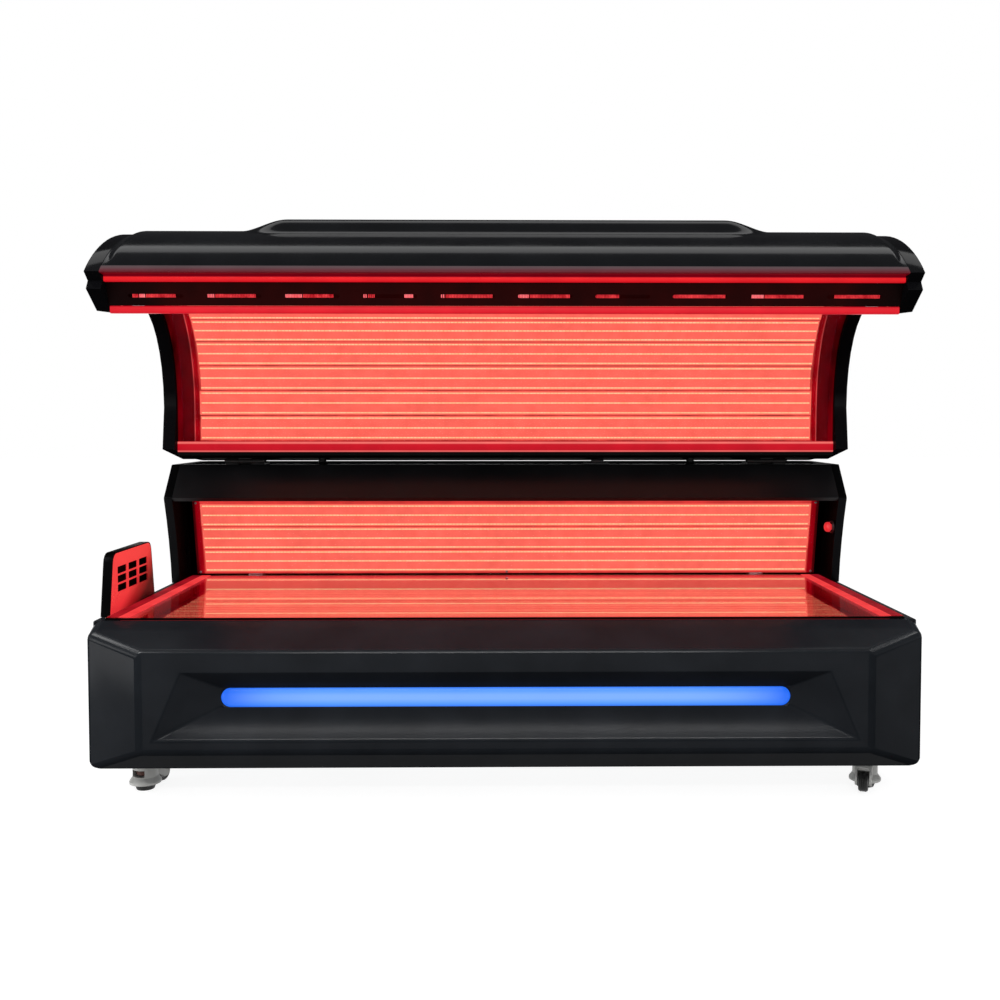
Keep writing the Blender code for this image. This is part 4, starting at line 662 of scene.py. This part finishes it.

# Air outlet at the left end: a black moulded box with an inner face of nine long vents, carrying painted red
# light at its front and top that fades to painted shadow towards the back and bottom. A blower in the base,
# a round plastic housing with a finned wheel, feeds it.
dress(wall_black, "air_outlet_box")
outlet_painted_light = finish("outlet_face_painted_light_and_shadow", (0.5, 0.01, 0.012), 0.3, specular=0.35)
tree = outlet_painted_light.node_tree
shader = tree.nodes["Principled BSDF"]
spot = tree.nodes.new("ShaderNodeTexCoord")
lit_side = tree.nodes.new("ShaderNodeVectorMath")
lit_side.operation = "DOT_PRODUCT"
lit_side.inputs[1].default_value = (0.0, 1.0, -1.9)
tree.links.new(spot.outputs["Object"], lit_side.inputs[0])
# Painted light and shadow: bright red towards the front and top, near black towards the back and bottom, in both
# the glow and the base colour.
painted_shadow_fade = between(tree, lit_side.outputs["Value"], -1.48, -0.98)
painted_red_light = ramp(tree, painted_shadow_fade, (0.0, (0.70, 0.035, 0.04)), (0.42, (0.60, 0.025, 0.03)), (0.60, (0.22, 0.004, 0.006)),
             (0.80, (0.003, 0.0, 0.0)))
face_painted_shade = ramp(tree, painted_shadow_fade, (0.45, (0.28, 0.008, 0.010)), (0.80, (0.005, 0.002, 0.002)))
tree.links.new(painted_red_light, shader.inputs["Emission Color"])
tree.links.new(face_painted_shade, shader.inputs["Base Color"])
shader.inputs["Emission Strength"].default_value = 0.95
dress(outlet_painted_light, "air_outlet_grille")
dress(black_plastic, "blower_housing", "blower_wheel")

# Power supplies and control box: closed cases with the bed's electrics, of drawn aluminium and of grey
# painted sheet steel. They are screwed to the floor pan.
drawn_aluminium = finish("drawn_aluminium", (0.62, 0.63, 0.64), 0.35, metallic=1.0)
dress(drawn_aluminium, "power_supply_left", "power_supply_right")
dress(finish("grey_case_paint", (0.22, 0.22, 0.23), 0.5), "control_box")

# Hinges, stop posts and gland: black-coated steel leaves on a pin, turned posts with rubber tops and
# a moulded gland for the canopy's cable, all in the gap between the upright and the canopy.
coated_steel = finish("black_coated_steel", (0.006, 0.006, 0.006), 0.45, specular=0.2)
dress(coated_steel, "hinge_base_left", "hinge_base_right", "hinge_leaf_left", "hinge_leaf_right")
dress(black_plastic, "cable_gland")
dress(tyre_rubber, "stop_post_left", "stop_post_right")

# Canopy's foot beam and light panel: a black box beam along the hinge line, and a sheet of light boards
# curved round the inside. The panel's ends carry a painted lit red band and a margin of dim painted red light.


def curve(points, steps):
    """Side path along a curve through two end points and drawn by two handles."""
    return [Vector((p.x, p.y)) for p in interpolate_bezier(*[Vector((x, y, 0)) for x, y in points], steps)]


def offset(path, distance):
    """The path moved sideways, to the left of its direction."""
    moved = []
    for i, spot in enumerate(path):
        along = (path[min(i + 1, len(path) - 1)] - path[max(i - 1, 0)]).normalized()
        moved.append(spot + Vector((-along.y, along.x)) * distance)
    return moved


inner_rim = curve(((0.317, 1.317), (0.520, 1.460), (0.745, 1.330), (0.745, 1.060)), 24)
canopy_lights = offset(inner_rim, 0.062)
canopy_lights.append(Vector((canopy_lights[-1].x, 0.9303)))
# The carrier's red glow is painted light: bright under the boards, a thin bright line near the end, then dim red.
canopy_painted_light_zones = painted_light_zones("canopy_carrier_painted_light", (0.04, 0.001, 0.001), 0.45, (0.9, (0.70, 0.05, 0.045)),
                     (0.999, (0.70, 0.05, 0.045)), (1.002, (0.34, 0.0, 0.004)), (1.0150, (0.38, 0.0, 0.005)),
                     (1.0172, (0.85, 0.09, 0.09)), (1.0195, (0.11, 0.0, 0.002)), (1.058, (0.08, 0.0, 0.002)))
light_panel("canopy_light", canopy_lights, 1.056, 1.000, 10, 0.0225, (canopy_painted_light_zones, board_glow, light_glow),
            "canopy", "canopy_led_panel")
# The panel's side plates carry dim, patchy painted red light.
canopy_side_painted_light = glow("side_painted_red_light", (0.02, 0.0, 0.0), (0.004, 0.0, 0.0), (0.15, 0.0, 0.003), 1.0, scale=7.0)
bm = bmesh.new()
total, at = curve_frame(canopy_lights)
for side in (-1, 1):
    left, right = sorted((side * 1.0562, side * 1.0576))
    strip(bm, at, 0.0, total, -0.002, 0.050, left, right, len(canopy_lights) - 1)
add_piece("canopy_light_sides", bm, canopy_side_painted_light, "canopy")
beam_black = finish("black_foot_beam", (0.004, 0.004, 0.004), 0.35, metallic=0.8, grazing=0.15, specular=0.02)
dress(beam_black, "canopy_beam")
dress(sheet_acrylic, "canopy_acrylic")

# Rails of the canopy: two along the lip and one along the foot, with a thin dark red seal over the upper one.
# The red glow of the rails and the seal is painted light, banded by height, and the pale bands near their
# edges are painted highlights.
bar_red = (0.08, 0.002, 0.003)
upper_rail_painted_light = painted_light_bar("upper_lip_rail_painted_light", bar_red, 1.382, 1.399, (0.0, (0.62, 0.006, 0.014)),
                    (0.25, (0.80, 0.012, 0.018)), (0.62, (0.88, 0.018, 0.022)), (0.80, (0.22, 0.0, 0.008)),
                    (1.0, (0.12, 0.0, 0.004)))
lower_rail_painted_light = painted_light_bar("lower_lip_rail_painted_light", bar_red, 1.303, 1.323, (0.0, (0.60, 0.006, 0.018)),
                    (0.3, (0.74, 0.014, 0.026)), (0.75, (0.76, 0.020, 0.032)), (1.0, (0.45, 0.004, 0.012)))
foot_rail_painted_light = painted_light_bar("foot_rail_painted_light", bar_red, 0.9158, 0.9508, (0.0, (0.30, 0.0, 0.008)), (0.08, (0.95, 0.20, 0.18)),
                   (0.18, (0.50, 0.004, 0.015)), (0.72, (0.58, 0.006, 0.018)), (0.86, (1.0, 0.22, 0.19)),
                   (1.0, (0.45, 0.006, 0.015)))
dress(upper_rail_painted_light, "lip_upper_rail")
dress(lower_rail_painted_light, "lip_lower_rail")
dress(foot_rail_painted_light, "canopy_rear_rail")
lip_seal_painted_light = painted_light_bar("lip_seal_painted_light", (0.03, 0.001, 0.001), 1.396, 1.402, (0.0, (0.16, 0.0, 0.005)),
                   (1.0, (0.06, 0.0, 0.003)))
bm = bmesh.new()
total, at = curve_frame([Vector((0.1045, 1.4010)), Vector((0.1330, 1.3988))])
strip(bm, at, 0.0, total, -0.0008, 0.0006, -1.0575, 1.0575, 1)
add_piece("lip_seal_strip", bm, lip_seal_painted_light, "canopy")

# Lip vent: a thin dark sheet leaning between the two lip bars, with ten long slots. Short strips of
# lights stand behind them, unevenly lit, on a dark backing.
# The vent sheet and the backing strip behind the slots carry dim painted red light, darkest towards their ends.
vent_painted_light = painted_light_zones("vent_sheet_painted_light", (0.003, 0.001, 0.001), 0.6, (0.9, (0.016, 0.0, 0.0)), (0.96, (0.006, 0.0, 0.0)),
                 (1.05, (0.001, 0.0, 0.0)))
dress(vent_painted_light, "lip_vent_panel")
runs = {
    "bright": [(-0.978, -0.962), (-0.797, -0.778), (-0.590, -0.545), (-0.383, -0.372), (-0.273, -0.249),
               (-0.176, -0.165), (0.031, 0.060), (0.657, 0.690)],
    "dim": [(-0.996, -0.980), (-0.960, -0.881), (-0.776, -0.668), (-0.543, -0.4615), (-0.370, -0.351),
            (-0.163, -0.037), (0.062, 0.170), (0.238, 0.302), (0.445, 0.587), (0.692, 0.797), (0.880, 1.003)],
}
slot_red = (0.3, 0.02, 0.02)
slot_lights = {
    "bright": glow("slot_lights_bright", slot_red, (0.92, 0.10, 0.12), (1.0, 0.22, 0.24), 1.0, scale=60.0),
    "dim": glow("slot_lights_dim", slot_red, (0.34, 0.002, 0.010), (0.84, 0.050, 0.060), 1.0, scale=60.0),
}
slot_light_pitch, half_slot_light = 0.004, 0.0016
total, at = curve_frame([Vector((0.1735, 1.3395)), Vector((0.1700, 1.3545))])
for tone, spans in runs.items():
    bm = bmesh.new()
    for start, end in spans:
        count = max(int((end - start) / slot_light_pitch), 1)
        for k in range(count):
            x = start + (k + 0.5) * (end - start) / count
            strip(bm, at, 0.0, total, -0.0012, 0.0, x - half_slot_light, x + half_slot_light, 1)
    add_piece("slot_lights_" + tone, bm, slot_lights[tone], "canopy")
bm = bmesh.new()
total, at = curve_frame([Vector((0.1815, 1.3236)), Vector((0.1695, 1.3680))])
strip(bm, at, 0.0, total, 0.0, 0.0012, -1.0575, 1.0575, 1)
add_piece("slot_backing_strip", bm, vent_painted_light, "canopy")

# Canopy shell and end caps: gloss black mouldings over the canopy. The shell is raised between the
# caps, with a long bulge over the crest; its front edge is a strip carrying a painted reflection, red at the
# bottom and grey at the top. Glued to the caps.
shell_rise, bulge_rise = 0.010, 0.0329
shell_end, bulge_end, bulge_ramp = 1.058, 0.757, 0.132
nose_depth = 0.1195
gloss_black = finish("gloss_black", (0.0035, 0.0038, 0.0046), 0.13, specular=0.28, spread=0.03, bump=0.01)
cap_black = finish("cap_black", (0.0030, 0.0030, 0.0036), 0.3, specular=0.0, spread=0.03, bump=0.01)
# Painted reflection on the nose's lower rounding: red low down, grey towards the top.
nose_painted_reflection = painted_light_bar("nose_strip_painted_reflection", (0.03, 0.012, 0.014), 1.403, 1.420, (0.0, (0.11, 0.003, 0.009)),
                   (0.35, (0.10, 0.022, 0.030)), (0.75, (0.085, 0.055, 0.06)), (1.0, (0.07, 0.06, 0.064)))
polish_tops(cap_black, 0.5, 0.10, -0.1)
dress(cap_black, "canopy_cap_left", "canopy_cap_right")
front_curve = ((0.102, 1.404), (0.185, 1.490), (0.335, 1.556), (0.500, 1.560))
top_curve = ((0.500, 1.560), (0.760, 1.566), (0.975, 1.380), (0.975, 1.120))
rear_curve = ((0.975, 1.120), (0.975, 1.030), (0.965, 0.940), (0.935, 0.887))
profile = curve(front_curve, 61)[:-1] + curve(top_curve, 33)[:-1] + curve(rear_curve, 14)
outward = [spot - moved for spot, moved in zip(profile, offset(profile, -1.0))]


def eased(value, start, end):
    """0 before start, 1 after end, an even S between."""
    share = min(max((value - start) / (end - start), 0.0), 1.0)
    return share * share * (3.0 - 2.0 * share)


def crest(share):
    """Straight rise from 0 that rounds off to 1."""
    if share < 0.3:
        return max(share, 0.0)
    return 1.0 - 0.7 * max((1.7 - share) / 1.4, 0.0) ** 2


def lift(i, x):
    """How far the shell's skin stands above the plain side profile."""
    depth = profile[i].x
    over_top = profile[i].y > 1.30
    side = abs(x)
    raised = eased(shell_end - side, 0.002, 0.028)
    front = crest((depth - 0.118) / 0.042) if over_top else 1.0
    bulge = eased(bulge_end - side, 0.0, bulge_ramp)
    rise = eased(depth, 0.302, 0.368) * (1.0 - eased(depth, 0.640, 0.860)) if over_top else 0.0
    return shell_rise * raised * front + bulge_rise * bulge * rise


stations = [1.0587] + [1.056 - 0.0026 * k for k in range(11)] + [1.02, 0.98, 0.90, 0.80]
stations += [bulge_end - bulge_ramp * k / 15 for k in range(16)] + [0.61, 0.55, 0.45, 0.30, 0.15]
stations = stations + [0.0] + [-x for x in reversed(stations)]
bm = bmesh.new()
grid = []
for x in stations:
    line = []
    for i, spot in enumerate(profile):
        raised = spot + outward[i] * lift(i, x)
        line.append(bm.verts.new((x, back(raised.x), raised.y)))
    grid.append(line)
for one, two in zip(grid, grid[1:]):
    for i in range(len(profile) - 1):
        face = bm.faces.new((one[i], one[i + 1], two[i + 1], two[i]))
        face.material_index = 1 if profile[i + 1].x < nose_depth else 0
shell = add_piece("canopy_skin", bm, gloss_black, "canopy", "canopy_shell", angle=50)
shell.data.materials.append(nose_painted_reflection)
skin = shell.modifiers.new("wall", "SOLIDIFY")
skin.thickness = 0.0035
skin.offset = -1.0
